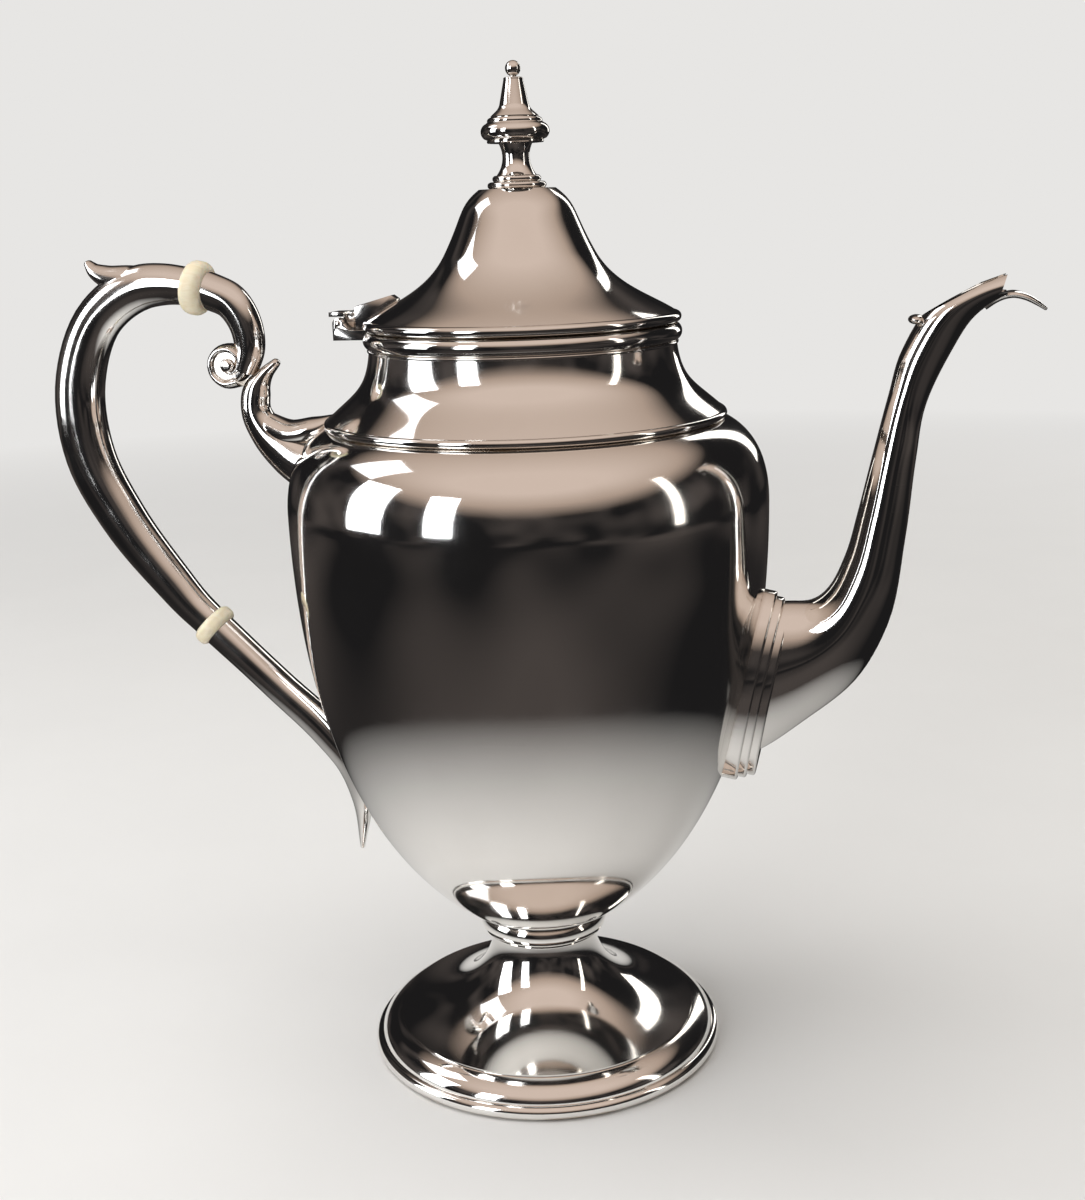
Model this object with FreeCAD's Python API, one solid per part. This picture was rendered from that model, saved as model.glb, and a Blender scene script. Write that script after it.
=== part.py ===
# Footed coffee pot with a hinged bell lid, a swan-neck spout and an insulated scroll handle.
# Sizes are in millimetres. The origin is on the pot's axis, in the plane that it stands on.
# +Z is up, the spout points along +X and the handle along -X.
import FreeCAD, Part
import math
import os

Vector = FreeCAD.Vector

# Sheet metal and fits
wall = 1.2                    # raised vessel, neck, foot, spout and grip
lid_wall = 1.0                # lid and its bezel
lid_gap = 0.3                 # lid rim above the mouth moulding
bezel_gap = 0.6               # bezel inside the mouth, on the radius
running_gap = 0.05            # hinge pin in the lid's knuckle, on the radius
fixed_gap = 0.02              # pins, studs and tenons that don't turn, on the radius
knuckle_gap = 0.3             # between the knuckles, along the pin
stop_gap = 0.35               # stop tab over the fixed knuckles

# Foot and stem
foot_height = 32.0            # base to the underside of the stem ring
foot_neck_radius = 14.3
foot_crease_radius = 41.7     # where the trumpet meets its edge moulding
foot_crease_height = 8.7
foot_crease_step = 0.6
foot_edge_radius = 49.4
foot_bead_radius = 1.95
foot_land = 1.8               # width of the flat that stands on the table
stem_ring_height = 6.0
stem_ring_radius = 17.6
stem_bore_radius = 11.0

# Vessel and neck
vessel_height = 138.9
vessel_bottom_radius = 17.0
belly_radius = 63.5
belly_rise = 117.0            # vessel bottom to its widest ring
shoulder_radius = 51.7
shoulder_bead_height = 2.2
shoulder_bead_stand = 1.0
neck_height = 16.9
neck_radius = 40.0            # outside, at the mouth
mouth_height = 5.2
mouth_reed_height = 1.7       # small reed under the mouth bead
mouth_reed_stand = 0.6
mouth_bead_stand = 1.3

# Lid and finial
lid_rim_height = 2.6
lid_rim_radius = 41.2
lid_height = 31.6             # rim moulding to the finial's seat
lid_waist_rise = 15.7         # rim moulding to the turn of the bell
lid_waist_radius = 19.4
lid_crown_radius = 9.8
bezel_depth = 4.0             # below the rim moulding
collar_height = 3.3
collar_radius = 7.5
collar_top_radius = 6.2
finial_height = 27.7
finial_stem_radius = 3.45
finial_stem_height = 7.9
finial_ring_radius = 7.2      # thin ring under the disc
finial_ring_height = 0.7
finial_disc_radius = 8.7
finial_disc_height = 5.0      # underside of the ring to the band
finial_band_radius = 7.0
finial_band_height = 1.4      # band above the disc
spire_foot_radius = 3.7
spire_foot_height = 2.9       # flare between band and spire
spire_top_radius = 2.45
ball_radius = 1.95
ball_neck_radius = 0.85
stud_radius = 2.0
washer_radius = 5.0
washer_height = 1.0
nut_across_flats = 7.0
nut_height = 2.8
stud_proud = 0.8              # stud beyond its nut

# Hinge
hinge_stand = 7.6             # hinge axis beyond the lid rim
hinge_rise = 1.7              # hinge axis above the mouth moulding
barrel_radius = 1.5
hinge_pin_radius = 0.7
hinge_half_length = 5.0
lid_knuckle_half = 1.6
bracket_depth = 2.6           # plate under the hinge
strap_length = 15.5           # hinge axis to the strap's tip
strap_half_width = 3.6
strap_tip_half_width = 1.4
strap_root_rise = 3.3         # strap's upper edge above the rim moulding
strap_tip_rise = 5.8
stop_length = 2.7
stop_thickness = 1.15
stop_half_width = 4.0

# Spout
spout_rise = 68.0             # vessel bottom to the middle of the spout's root
spout_collar_half_height = 26.6
spout_collar_half_width = 13.2
spout_collar_bands = 3
spout_collar_band = 2.2       # height of each band above the wall
spout_collar_step = 1.2       # each band is smaller than the one below it
spout_collar_round = 0.7      # rounding at each band's edge
spout_beak_length = 11.3      # beyond the mouth's front corner
spout_beak_half_width = 3.9
spout_beak_root_half = 2.4
spout_beak_thickness = 1.3
spout_crest_radius = 1.0
strainer_hole_radius = 1.5
strainer_pitch = 5.0
strainer_rows = 7

# Handle
upper_joint_stand = 26.7      # middle of the upper insulator beyond the belly
upper_joint_rise = 36.0       # and above the vessel's top
upper_joint_slope = 12.0      # degrees, grip end higher
lower_joint_stand = 30.2
handle_drop = 94.6            # upper insulator to lower insulator
lower_joint_slope = 44.0      # degrees, socket end lower
upper_flange_radius = 7.3
upper_flange_length = 6.2
lower_flange_radius = 6.3
lower_flange_length = 4.6
tenon_radius = 3.0
tenon_length = 6.5
cross_pin_radius = 0.6
cross_pin_set_back = 3.4      # from the insulator's flange
socket_end_half = 5.1         # half thickness of sockets and grip at the upper insulator
lower_end_half = 4.9
pin_sink = 0.3                # cross pins below the outer surface
volute_radius = 6.6
volute_half_width = 4.4
volute_eye_radius = 2.3
volute_eye_half_width = 5.0
leaf_thickness = 2.0
leaf_half_width = 8.0
leaf_length = 27.0

# Levels, from the table up
stem_level = foot_height
vessel_level = stem_level + stem_ring_height
shoulder_level = vessel_level + vessel_height
neck_level = shoulder_level + shoulder_bead_height
mouth_level = neck_level + neck_height
mouth_top = mouth_level + mouth_height
lid_level = mouth_top + lid_gap
dome_level = lid_level + lid_rim_height
collar_level = dome_level + lid_height
finial_level = collar_level + collar_height
finial_top = finial_level + finial_height

axis_up = Vector(0, 0, 1)
across = Vector(0, 1, 0)
oval_points = 12              # points on each closed oval section
reach_past = 40.0             # how far cutters run past what they cut


def at(radius, height):
    return Vector(radius, 0, height)


def heading(degrees):
    return Vector(math.cos(math.radians(degrees)), 0, math.sin(math.radians(degrees)))


def line(start, end):
    return Part.makeLine(start, end)


def arc(start, middle, end):
    return Part.Arc(start, middle, end).toShape()


def chain(*points):
    return [line(a, b) for a, b in zip(points, points[1:])]


# Smooth curve that leaves one point and arrives at another in given directions.
# Each pull is a share of the straight distance: a larger pull keeps the direction for longer.
def bow(start, leaving, start_pull, end, arriving, end_pull):
    span = (end - start).Length
    curve = Part.BezierCurve()
    leave_pole = start + heading(leaving) * (span * start_pull)
    arrive_pole = end - heading(arriving) * (span * end_pull)
    curve.setPoles([start, leave_pole, arrive_pole, end])
    return curve


# Curve at a steady distance to the left of another, which is its inner side where it runs upward.
def beside(curve, distance, steps=10):
    points = []
    for step in range(steps + 1):
        place, along = curve.getD1(step / steps)
        along.normalize()
        points.append(place + Vector(-along.z, 0, along.x) * distance)
    spline = Part.BSplineCurve()
    spline.interpolate(points)
    return spline


def turned(edges):
    return Part.Face(Part.Wire(edges)).revolve(Vector(), axis_up, 360)


# Solid of revolution under a rising profile, closed to the axis at both ends.
def core(curves, bottom, top):
    edges = [curve.toShape() for curve in curves]
    first = edges[0].valueAt(edges[0].FirstParameter)
    last = edges[-1].valueAt(edges[-1].LastParameter)
    around = [last, at(last.x, top), at(0, top), at(0, bottom), at(first.x, bottom), first]
    kept = [p for i, p in enumerate(around) if i == 0 or (p - around[i - 1]).Length > 1e-6]
    return turned(edges + chain(*kept))


def radius_at(curve, height):
    low, high = 0.0, 1.0
    for _ in range(50):
        middle = (low + high) / 2
        if curve.value(middle).z < height:
            low = middle
        else:
            high = middle
    return curve.value(low).x


def rod(start, direction, length, radius):
    return Part.makeCylinder(radius, length, start, direction)


# Rod across the pot, the same on both sides of its middle plane.
def cross_rod(middle, half_length, radius):
    return rod(middle - across * half_length, across, 2 * half_length, radius)


# Plate with a given outline in the middle plane and the same thickness on both sides of it.
def plate(points, half_width):
    face = Part.Face(Part.Wire(chain(*points, points[0])))
    face.translate(across * -half_width)
    return face.extrude(across * (2 * half_width))


# Closed oval across a path. The half height lies in the pot's middle plane.
def oval(middle, along, half_height, half_width):
    rise = along.cross(across).normalize()
    points = []
    for step in range(oval_points):
        turn = 2 * math.pi * step / oval_points
        points.append(middle + rise * (half_height * math.cos(turn)) + across * (half_width * math.sin(turn)))
    curve = Part.BSplineCurve()
    curve.interpolate(Points=points, PeriodicFlag=True)
    return Part.Wire(curve.toShape())


# Tapering bar along a smooth path. Each station is x, z, half height and half width.
# An end that meets a joint is cut square to the joint's axis.
def bar(stations, inset=0.0, first_axis=None, last_axis=None):
    path = Part.BSplineCurve()
    path.interpolate([at(x, z) for x, z, _, _ in stations])
    tangents = [path.getD1(path.parameter(at(x, z)))[1] for x, z, _, _ in stations]
    tangents[0] = first_axis or tangents[0]
    tangents[-1] = last_axis or tangents[-1]
    sections = []
    for (x, z, half_height, half_width), along in zip(stations, tangents):
        sections.append(oval(at(x, z), along, half_height - inset, half_width - inset))
    return Part.makeLoft(sections, True)


parts = {}

# Vessel: an egg on its narrow end
flank = bow(at(vessel_bottom_radius, vessel_level), 31.7, 0.218, at(belly_radius, vessel_level + belly_rise), 90, 0.556)
crest = bow(at(belly_radius, vessel_level + belly_rise), 90, 0.43, at(shoulder_radius, shoulder_level), 158, 0.35)
vessel_core = core([flank, crest], vessel_level, shoulder_level)
inner_flank = beside(flank, wall)
inner_crest = beside(crest, wall)
lip = line(inner_crest.EndPoint, at(shoulder_radius - wall, shoulder_level))
hollow = turned([inner_flank.toShape(), inner_crest.toShape(), lip] + chain(
    at(shoulder_radius - wall, shoulder_level), at(0, shoulder_level), at(0, inner_flank.StartPoint.z),
    inner_flank.StartPoint))
vessel = vessel_core.cut(hollow)

# Shoulder bead over the seam of vessel and neck
bead_middle = shoulder_level + shoulder_bead_height / 2
parts["shoulder_bead"] = turned(chain(
    at(shoulder_radius, neck_level), at(shoulder_radius - wall, neck_level),
    at(shoulder_radius - wall, shoulder_level), at(shoulder_radius, shoulder_level)) + [arc(
        at(shoulder_radius, shoulder_level), at(shoulder_radius + shoulder_bead_stand, bead_middle),
        at(shoulder_radius, neck_level))])

# Neck, concave between shoulder and mouth
throat = bow(at(shoulder_radius, neck_level), 128, 0.355, at(neck_radius, mouth_level), 88, 0.44)
neck_core = core([throat], neck_level, mouth_level)
inner_throat = beside(throat, wall)
parts["neck"] = neck_core.cut(core([inner_throat], inner_throat.StartPoint.z, mouth_level))

# Mouth moulding: a small reed under a larger bead
mouth_bore = neck_radius - wall
reed_top = mouth_level + mouth_reed_height
parts["mouth_moulding"] = turned(chain(
    at(neck_radius, mouth_top), at(mouth_bore, mouth_top), at(mouth_bore, mouth_level), at(neck_radius, mouth_level)) + [
        arc(at(neck_radius, mouth_level), at(neck_radius + mouth_reed_stand, mouth_level + mouth_reed_height / 2),
            at(neck_radius, reed_top)),
        arc(at(neck_radius, reed_top), at(neck_radius + mouth_bead_stand, (reed_top + mouth_top) / 2),
            at(neck_radius, mouth_top))])

# Stem ring
parts["stem_ring"] = turned(chain(
    at(vessel_bottom_radius, vessel_level), at(stem_bore_radius, vessel_level), at(stem_bore_radius, stem_level),
    at(foot_neck_radius, stem_level)) + [arc(
        at(foot_neck_radius, stem_level), at(stem_ring_radius, stem_level + stem_ring_height / 2),
        at(vessel_bottom_radius, vessel_level))])

# Trumpet foot, with a small step at the crease
crease = at(foot_crease_radius, foot_crease_height + foot_crease_step)
trumpet = bow(crease, 171, 0.163, at(foot_neck_radius, stem_level), 96, 0.508)
under_trumpet = beside(trumpet, wall)
foot_core = core([trumpet], foot_crease_height, stem_level)
foot_hollow = core([under_trumpet], 0, stem_level)
parts["foot"] = foot_core.cut(foot_hollow)

# Foot rim: a rounded flange and a bead that stands on the table
bead_line = foot_edge_radius - foot_bead_radius
bead_top = 2 * foot_bead_radius
land_inner = bead_line - foot_land
rim_hollow = foot_crease_height - wall
rim_inner = under_trumpet.StartPoint.x
ovolo = bow(at(bead_line, bead_top), 100, 0.3, at(foot_crease_radius, foot_crease_height), 165, 0.4)
parts["foot_rim"] = turned([
    arc(at(bead_line, 0), at(foot_edge_radius, foot_bead_radius), at(bead_line, bead_top)), ovolo.toShape()] + chain(
        at(foot_crease_radius, foot_crease_height), at(rim_inner, foot_crease_height), at(rim_inner, rim_hollow),
        at(land_inner, bead_top), at(land_inner, 0), at(bead_line, 0)))

# Spout: stations follow its upper and lower edges from inside the vessel to the mouth.
# Each station is upper edge x and z, lower edge x and z, and half width, from the middle of the root.
root_height = vessel_level + spout_rise
root_radius = radius_at(flank, root_height)
spout_edges = [
    (-9.0, 20.0, -13.0, -21.0, 11.0),
    (9.6, 20.8, 2.6, -17.8, 10.6),
    (16.2, 23.2, 14.6, -9.0, 9.8),
    (20.9, 28.8, 27.6, 2.5, 9.0),
    (24.6, 35.8, 35.6, 17.5, 7.8),
    (27.6, 47.0, 39.6, 40.5, 6.2),
    (31.1, 62.0, 41.8, 61.0, 5.3),
    (34.6, 76.5, 43.9, 74.5, 4.8),
    (37.8, 88.0, 49.4, 87.0, 5.3),
    (42.6, 102.0, 55.1, 96.0, 5.9),
    (50.5, 110.0, 61.2, 99.9, 5.7),
    (60.5, 112.5, 67.6, 101.0, 5.0),
]
mouth_back = (39.6, 95.5)     # top of the mouth's back edge
mouth_front = (61.9, 105.6)   # top corner of its side walls
mouth_notch = (60.6, 101.6)   # where the side walls drop to the beak
mouth_end = 1.5               # only the beak goes on further than this past the notch
beak_top = (65.6, 100.8)      # middle of the beak's droop


def from_root(x, z):
    return at(root_radius + x, root_height + z)


def spout_tube(inset):
    sections = []
    for upper_x, upper_z, lower_x, lower_z, half_width in spout_edges:
        upper = from_root(upper_x, upper_z)
        lower = from_root(lower_x, lower_z)
        along = across.cross(upper - lower)
        half_height = (upper - lower).Length / 2
        sections.append(oval((upper + lower) / 2, along, half_height - inset, half_width - inset))
    return Part.makeLoft(sections, True)


spout_outer = spout_tube(0)
beak_tip = (mouth_notch[0] + spout_beak_length, mouth_notch[1] - 4.9)
mouth_cut = plate([
    from_root(mouth_back[0] - reach_past, mouth_back[1]), from_root(*mouth_back), from_root(*mouth_front),
    from_root(*mouth_notch), from_root(mouth_notch[0] + mouth_end, mouth_notch[1]),
    from_root(mouth_notch[0] + mouth_end, mouth_notch[1] - reach_past),
    from_root(mouth_notch[0] + reach_past, mouth_notch[1] - reach_past),
    from_root(mouth_notch[0] + reach_past, mouth_front[1] + reach_past),
    from_root(mouth_back[0] - reach_past, mouth_front[1] + reach_past)], reach_past)
beak_upper = arc(from_root(mouth_notch[0] - 3.5, mouth_notch[1] - 0.4), from_root(*beak_top), from_root(*beak_tip))
beak_back = from_root(mouth_notch[0] - 3.5, mouth_notch[1] - 0.4 - spout_beak_thickness)
beak_under = arc(
    from_root(*beak_tip), from_root(beak_top[0] - 0.3, beak_top[1] - spout_beak_thickness), beak_back)
beak_side = Part.Face(Part.Wire([beak_upper, beak_under, line(beak_back, beak_upper.valueAt(beak_upper.FirstParameter))]))
beak_side.translate(across * -spout_beak_half_width)
beak_blank = beak_side.extrude(across * (2 * spout_beak_half_width))
beak_start_x = root_radius + mouth_notch[0] - 3.5
beak_end_x = root_radius + beak_tip[0]
beak_wide_x = beak_start_x * 0.58 + beak_end_x * 0.42
beak_plan = Part.Wire([
    line(Vector(beak_start_x, spout_beak_root_half, 0), Vector(beak_start_x, -spout_beak_root_half, 0)),
    arc(Vector(beak_start_x, -spout_beak_root_half, 0), Vector(beak_wide_x, -spout_beak_half_width, 0), Vector(beak_end_x, 0, 0)),
    arc(Vector(beak_end_x, 0, 0), Vector(beak_wide_x, spout_beak_half_width, 0), Vector(beak_start_x, spout_beak_root_half, 0))])
beak_leaf = Part.Face(beak_plan).extrude(axis_up * (root_height + mouth_front[1] + reach_past))
beak = beak_blank.common(beak_leaf)
spout_crest = cross_rod(from_root(*mouth_back), spout_edges[-3][4] * 0.7, spout_crest_radius)
spout_tip = spout_outer.cut([vessel_core, mouth_cut]).fuse([beak, spout_crest])
parts["spout"] = spout_tip.cut(spout_tube(wall))

# Spout collar: stacked oval bands, square to the vessel's wall
root_along = flank.getD1(flank.parameter(at(root_radius, root_height)))[1].normalize()
root_normal = Vector(root_along.z, 0, -root_along.x)
root_middle = at(root_radius, root_height)
collar_bands = []
for band in range(spout_collar_bands):
    half_height = spout_collar_half_height - band * spout_collar_step
    half_width = spout_collar_half_width - band * spout_collar_step / 2
    face = spout_collar_band * (band + 1)
    shoulder = root_middle + root_normal * (face - spout_collar_round)
    collar_bands.append(Part.makeLoft([
        oval(root_middle - root_normal * spout_collar_half_width, root_normal, half_height, half_width),
        oval(shoulder, root_normal, half_height, half_width),
        oval(root_middle + root_normal * face, root_normal, half_height - spout_collar_round,
             half_width - spout_collar_round)], True, True))
parts["spout_collar"] = collar_bands[0].fuse(collar_bands[1:]).cut([vessel_core, spout_outer])

# Strainer holes through the vessel's wall, inside the spout's root
strainer = []
for row in range(strainer_rows):
    row_height = root_height + (row - (strainer_rows - 1) / 2) * strainer_pitch * 0.9
    columns = (-1, 0, 1) if row % 2 else (-0.5, 0.5)
    for column in columns:
        start = Vector(root_radius - reach_past / 2, column * strainer_pitch, row_height)
        strainer.append(rod(start, Vector(1, 0, 0), reach_past, strainer_hole_radius))
parts["vessel"] = vessel.cut(strainer)

# Handle: insulators between two sockets and a hollow grip
upper_joint = at(-(belly_radius + upper_joint_stand), shoulder_level + upper_joint_rise)
upper_axis = heading(180 - upper_joint_slope)
lower_joint = at(-(belly_radius + lower_joint_stand), upper_joint.z - handle_drop)
lower_axis = heading(-lower_joint_slope)
upper_grip_end = upper_joint + upper_axis * (upper_flange_length / 2)
upper_socket_end = upper_joint - upper_axis * (upper_flange_length / 2)
lower_grip_end = lower_joint - lower_axis * (lower_flange_length / 2)
lower_socket_end = lower_joint + lower_axis * (lower_flange_length / 2)


def insulator(middle, direction, flange_radius, flange_length):
    flange = rod(middle - direction * (flange_length / 2), direction, flange_length, flange_radius)
    flange = flange.makeFillet(flange_length * 0.4, [e for e in flange.Edges if len(e.Vertexes) == 1])
    total = flange_length + 2 * tenon_length
    return flange.fuse(rod(middle - direction * (total / 2), direction, total, tenon_radius))


# Cross pins on both sides of an insulator, or the holes for them.
def cross_pins(middle, direction, flange_length, half_length, radius):
    offset = flange_length / 2 + cross_pin_set_back
    return [cross_rod(middle + direction * (side * offset), half_length, radius) for side in (-1, 1)]


def joint_bore(middle, direction, flange_length):
    total = flange_length + 2 * tenon_length + 2
    return rod(middle - direction * (total / 2), direction, total, tenon_radius + fixed_gap)


hole_radius = cross_pin_radius + fixed_gap
upper_holes = cross_pins(upper_joint, upper_axis, upper_flange_length, reach_past, hole_radius)
lower_holes = cross_pins(lower_joint, lower_axis, lower_flange_length, reach_past, hole_radius)
upper_ring = insulator(upper_joint, upper_axis, upper_flange_radius, upper_flange_length)
lower_ring = insulator(lower_joint, lower_axis, lower_flange_radius, lower_flange_length)
parts["upper_insulator"] = upper_ring.cut(upper_holes)
parts["lower_insulator"] = lower_ring.cut(lower_holes)
parts["upper_insulator_pins"] = Part.makeCompound(cross_pins(
    upper_joint, upper_axis, upper_flange_length, socket_end_half - pin_sink, cross_pin_radius))
parts["lower_insulator_pins"] = Part.makeCompound(cross_pins(
    lower_joint, lower_axis, lower_flange_length, lower_end_half - pin_sink, cross_pin_radius))

# Grip: stations run from the upper insulator to the lower one, measured from the upper joint
grip_stations = [
    (upper_grip_end.x, upper_grip_end.z, socket_end_half, socket_end_half),
    (upper_joint.x - 9.5, upper_joint.z + 1.2, 5.6, 5.3),
    (upper_joint.x - 16.5, upper_joint.z + 0.6, 6.1, 5.6),
    (upper_joint.x - 29.3, upper_joint.z - 6.9, 6.4, 5.9),
    (upper_joint.x - 37.6, upper_joint.z - 24.0, 6.9, 6.2),
    (upper_joint.x - 37.0, upper_joint.z - 46.0, 7.1, 6.3),
    (lower_joint.x - 25.2, lower_joint.z + 31.0, 6.7, 6.0),
    (lower_joint.x - 12.0, lower_joint.z + 13.0, 5.7, 5.4),
    (lower_joint.x - 6.4, lower_joint.z + 6.3, 5.2, 5.1),
    (lower_grip_end.x, lower_grip_end.z, lower_end_half, lower_end_half),
]
spur_stations = [
    (upper_joint.x - 15.0, upper_joint.z + 2.0, 4.0, 4.2),
    (upper_joint.x - 24.0, upper_joint.z + 2.6, 3.6, 3.9),
    (upper_joint.x - 29.6, upper_joint.z + 4.6, 2.3, 3.2),
    (upper_joint.x - 31.6, upper_joint.z + 7.0, 1.0, 1.8),
]
grip = bar(grip_stations, 0, upper_axis, lower_axis).fuse(bar(spur_stations))
grip_cavity = bar(grip_stations[1:-1], wall * 1.5)
upper_bore = joint_bore(upper_joint, upper_axis, upper_flange_length)
lower_bore = joint_bore(lower_joint, lower_axis, lower_flange_length)
parts["grip"] = grip.cut([grip_cavity, upper_bore, lower_bore] + upper_holes + lower_holes)

# Upper socket: a C-scroll with a volute, then an S-scroll that flares into a leaf on the shoulder
scroll_stations = [
    (upper_socket_end.x, upper_socket_end.z, socket_end_half, socket_end_half),
    (upper_joint.x + 9.5, upper_joint.z - 3.8, 4.9, 4.8),
    (upper_joint.x + 13.1, upper_joint.z - 9.6, 4.5, 4.5),
    (upper_joint.x + 13.9, upper_joint.z - 16.4, 4.1, 4.2),
    (upper_joint.x + 12.0, upper_joint.z - 22.4, 3.4, 3.9),
]
tie_stations = [
    (upper_joint.x + 21.2, upper_joint.z - 20.3, 0.7, 1.2),
    (upper_joint.x + 18.0, upper_joint.z - 23.2, 2.0, 2.6),
    (upper_joint.x + 15.0, upper_joint.z - 27.8, 3.8, 3.8),
    (upper_joint.x + 14.4, upper_joint.z - 33.4, 4.1, 4.1),
    (upper_joint.x + 17.4, upper_joint.z - 39.3, 5.0, 4.5),
    (upper_joint.x + 23.8, upper_joint.z - 45.2, 6.6, 5.4),
    (upper_joint.x + 33.2, upper_joint.z - 50.6, 8.0, 6.2),
]
tongue_stations = [
    (upper_joint.x + 16.4, upper_joint.z - 36.6, 3.4, 3.8),
    (upper_joint.x + 24.0, upper_joint.z - 39.3, 3.5, 5.2),
    (upper_joint.x + 31.4, upper_joint.z - 38.2, 3.3, 5.0),
    (upper_joint.x + 37.4, upper_joint.z - 35.4, 1.2, 2.4),
]
volute_middle = upper_joint + Vector(8.3, 0, -20.7)


def round_boss(middle, half_width, radius, edge):
    boss = cross_rod(middle, half_width, radius)
    return boss.makeFillet(edge, [e for e in boss.Edges if len(e.Vertexes) == 1])


volute = round_boss(volute_middle, volute_half_width, volute_radius, volute_half_width * 0.5)
volute_eye = round_boss(volute_middle, volute_eye_half_width, volute_eye_radius, volute_eye_radius * 0.4)
leaf_layer = core(
    [beside(flank, -leaf_thickness), beside(crest, -leaf_thickness)], vessel_level - leaf_thickness,
    shoulder_level + leaf_thickness)
leaf_top = shoulder_level + leaf_thickness
leaf_bottom = leaf_top - leaf_length
leaf_outline = Part.Wire([
    arc(Vector(0, 0, leaf_bottom), Vector(0, leaf_half_width, leaf_bottom + leaf_length * 0.6), Vector(0, 0, leaf_top)),
    arc(Vector(0, 0, leaf_top), Vector(0, -leaf_half_width, leaf_bottom + leaf_length * 0.6), Vector(0, 0, leaf_bottom))])
leaf = Part.Face(leaf_outline).extrude(Vector(-belly_radius * 1.5, 0, 0)).common(leaf_layer)
scroll = bar(scroll_stations, 0, upper_axis * -1)
upper_socket = scroll.fuse([bar(tie_stations), bar(tongue_stations), volute, volute_eye, leaf])
bead_plug = rod(at(0, shoulder_level), axis_up, shoulder_bead_height, shoulder_radius)
parts["upper_socket"] = upper_socket.cut(
    [vessel_core, neck_core, bead_plug, parts["shoulder_bead"], upper_bore] + upper_holes)

# Lower socket: a straight arm that lands on the vessel and ends in a free leaf tail
landing_height = lower_joint.z - 37.8
landing_x = -(radius_at(flank, landing_height) + 4.2)
arm_bend = at(landing_x - 5.6, landing_height + 6.6)
tail_stations = [
    (lower_socket_end.x, lower_socket_end.z, lower_end_half, lower_end_half),
    (lower_socket_end.x * 0.75 + arm_bend.x * 0.25, lower_socket_end.z * 0.75 + arm_bend.z * 0.25, 4.7, 4.7),
    ((lower_socket_end.x + arm_bend.x) / 2, (lower_socket_end.z + arm_bend.z) / 2, 4.7, 4.7),
    (arm_bend.x, arm_bend.z, 4.8, 4.7),
    (landing_x, landing_height - 1.0, 4.4, 4.6),
    (landing_x + 2.9, landing_height - 13.0, 2.7, 3.6),
    (landing_x + 2.0, landing_height - 27.5, 0.6, 1.0),
]
parts["lower_socket"] = bar(tail_stations, 0, lower_axis).cut([vessel_core, lower_bore] + lower_holes)

# Hinge: two fixed knuckles on a bracket, one knuckle on the lid's strap
hinge_axis = at(-(lid_rim_radius + hinge_stand), mouth_top + hinge_rise)
bracket_top = mouth_top
bracket_bottom = mouth_top - bracket_depth
arm_inner = lid_knuckle_half + knuckle_gap
arm_width = hinge_half_length - arm_inner
bracket = plate([
    at(hinge_axis.x + 2 * barrel_radius, bracket_bottom), at(-mouth_bore, bracket_bottom), at(-mouth_bore, bracket_top),
    at(hinge_axis.x + 2 * barrel_radius, bracket_top)], hinge_half_length)
arms = []
for side in (-1, 1):
    arm_middle = across * (side * (arm_inner + arm_width / 2))
    arm = plate([
        at(hinge_axis.x - barrel_radius, bracket_bottom), at(hinge_axis.x + 2 * barrel_radius, bracket_bottom),
        at(hinge_axis.x + 2 * barrel_radius, bracket_top), at(hinge_axis.x + barrel_radius, hinge_axis.z),
        at(hinge_axis.x - barrel_radius, hinge_axis.z)], arm_width / 2)
    arm = arm.fuse(cross_rod(hinge_axis, arm_width / 2, barrel_radius))
    arm.translate(arm_middle)
    arms.append(arm)
mouth_plug = rod(at(0, mouth_level), axis_up, mouth_height, neck_radius)
pin_hole = cross_rod(hinge_axis, reach_past, hinge_pin_radius + fixed_gap)
bracket = bracket.fuse(arms).cut([parts["mouth_moulding"], mouth_plug, pin_hole])
parts["hinge_bracket"] = bracket.removeSplitter()
parts["hinge_pin"] = cross_rod(hinge_axis, hinge_half_length + pin_sink, hinge_pin_radius)

# Lid: rim moulding, bezel inside the mouth, and the bell
rim_bead_radius = lid_rim_height / 2
rim_bead_line = lid_rim_radius - rim_bead_radius
bezel_radius = mouth_bore - bezel_gap
parts["lid_rim"] = turned(chain(
    at(rim_bead_line, dome_level), at(bezel_radius, dome_level), at(bezel_radius, lid_level),
    at(rim_bead_line, lid_level)) + [arc(
        at(rim_bead_line, lid_level), at(lid_rim_radius, lid_level + rim_bead_radius), at(rim_bead_line, dome_level))])
bezel_bottom = lid_level - bezel_depth
parts["lid_bezel"] = turned(chain(
    at(bezel_radius, bezel_bottom), at(bezel_radius, dome_level), at(bezel_radius - lid_wall, dome_level),
    at(bezel_radius - lid_wall, bezel_bottom), at(bezel_radius, bezel_bottom)))
waist = at(lid_waist_radius, dome_level + lid_waist_rise)
flare = bow(at(rim_bead_line, dome_level), 146.2, 0.292, waist, 118.5, 0.395)
bell = bow(waist, 118.5, 0.597, at(lid_crown_radius, collar_level), 143.7, 0.357)
dome_core = core([flare, bell], dome_level, collar_level)
inner_flare = beside(flare, lid_wall)
inner_bell = beside(bell, lid_wall)
dome_hollow = turned([inner_flare.toShape(), inner_bell.toShape()] + chain(
    inner_bell.EndPoint, at(0, inner_bell.EndPoint.z), at(0, inner_flare.StartPoint.z), inner_flare.StartPoint))
stud_hole = rod(at(0, dome_level), axis_up, finial_top - dome_level, stud_radius + fixed_gap)
parts["lid_dome"] = dome_core.cut([dome_hollow, stud_hole])

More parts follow.
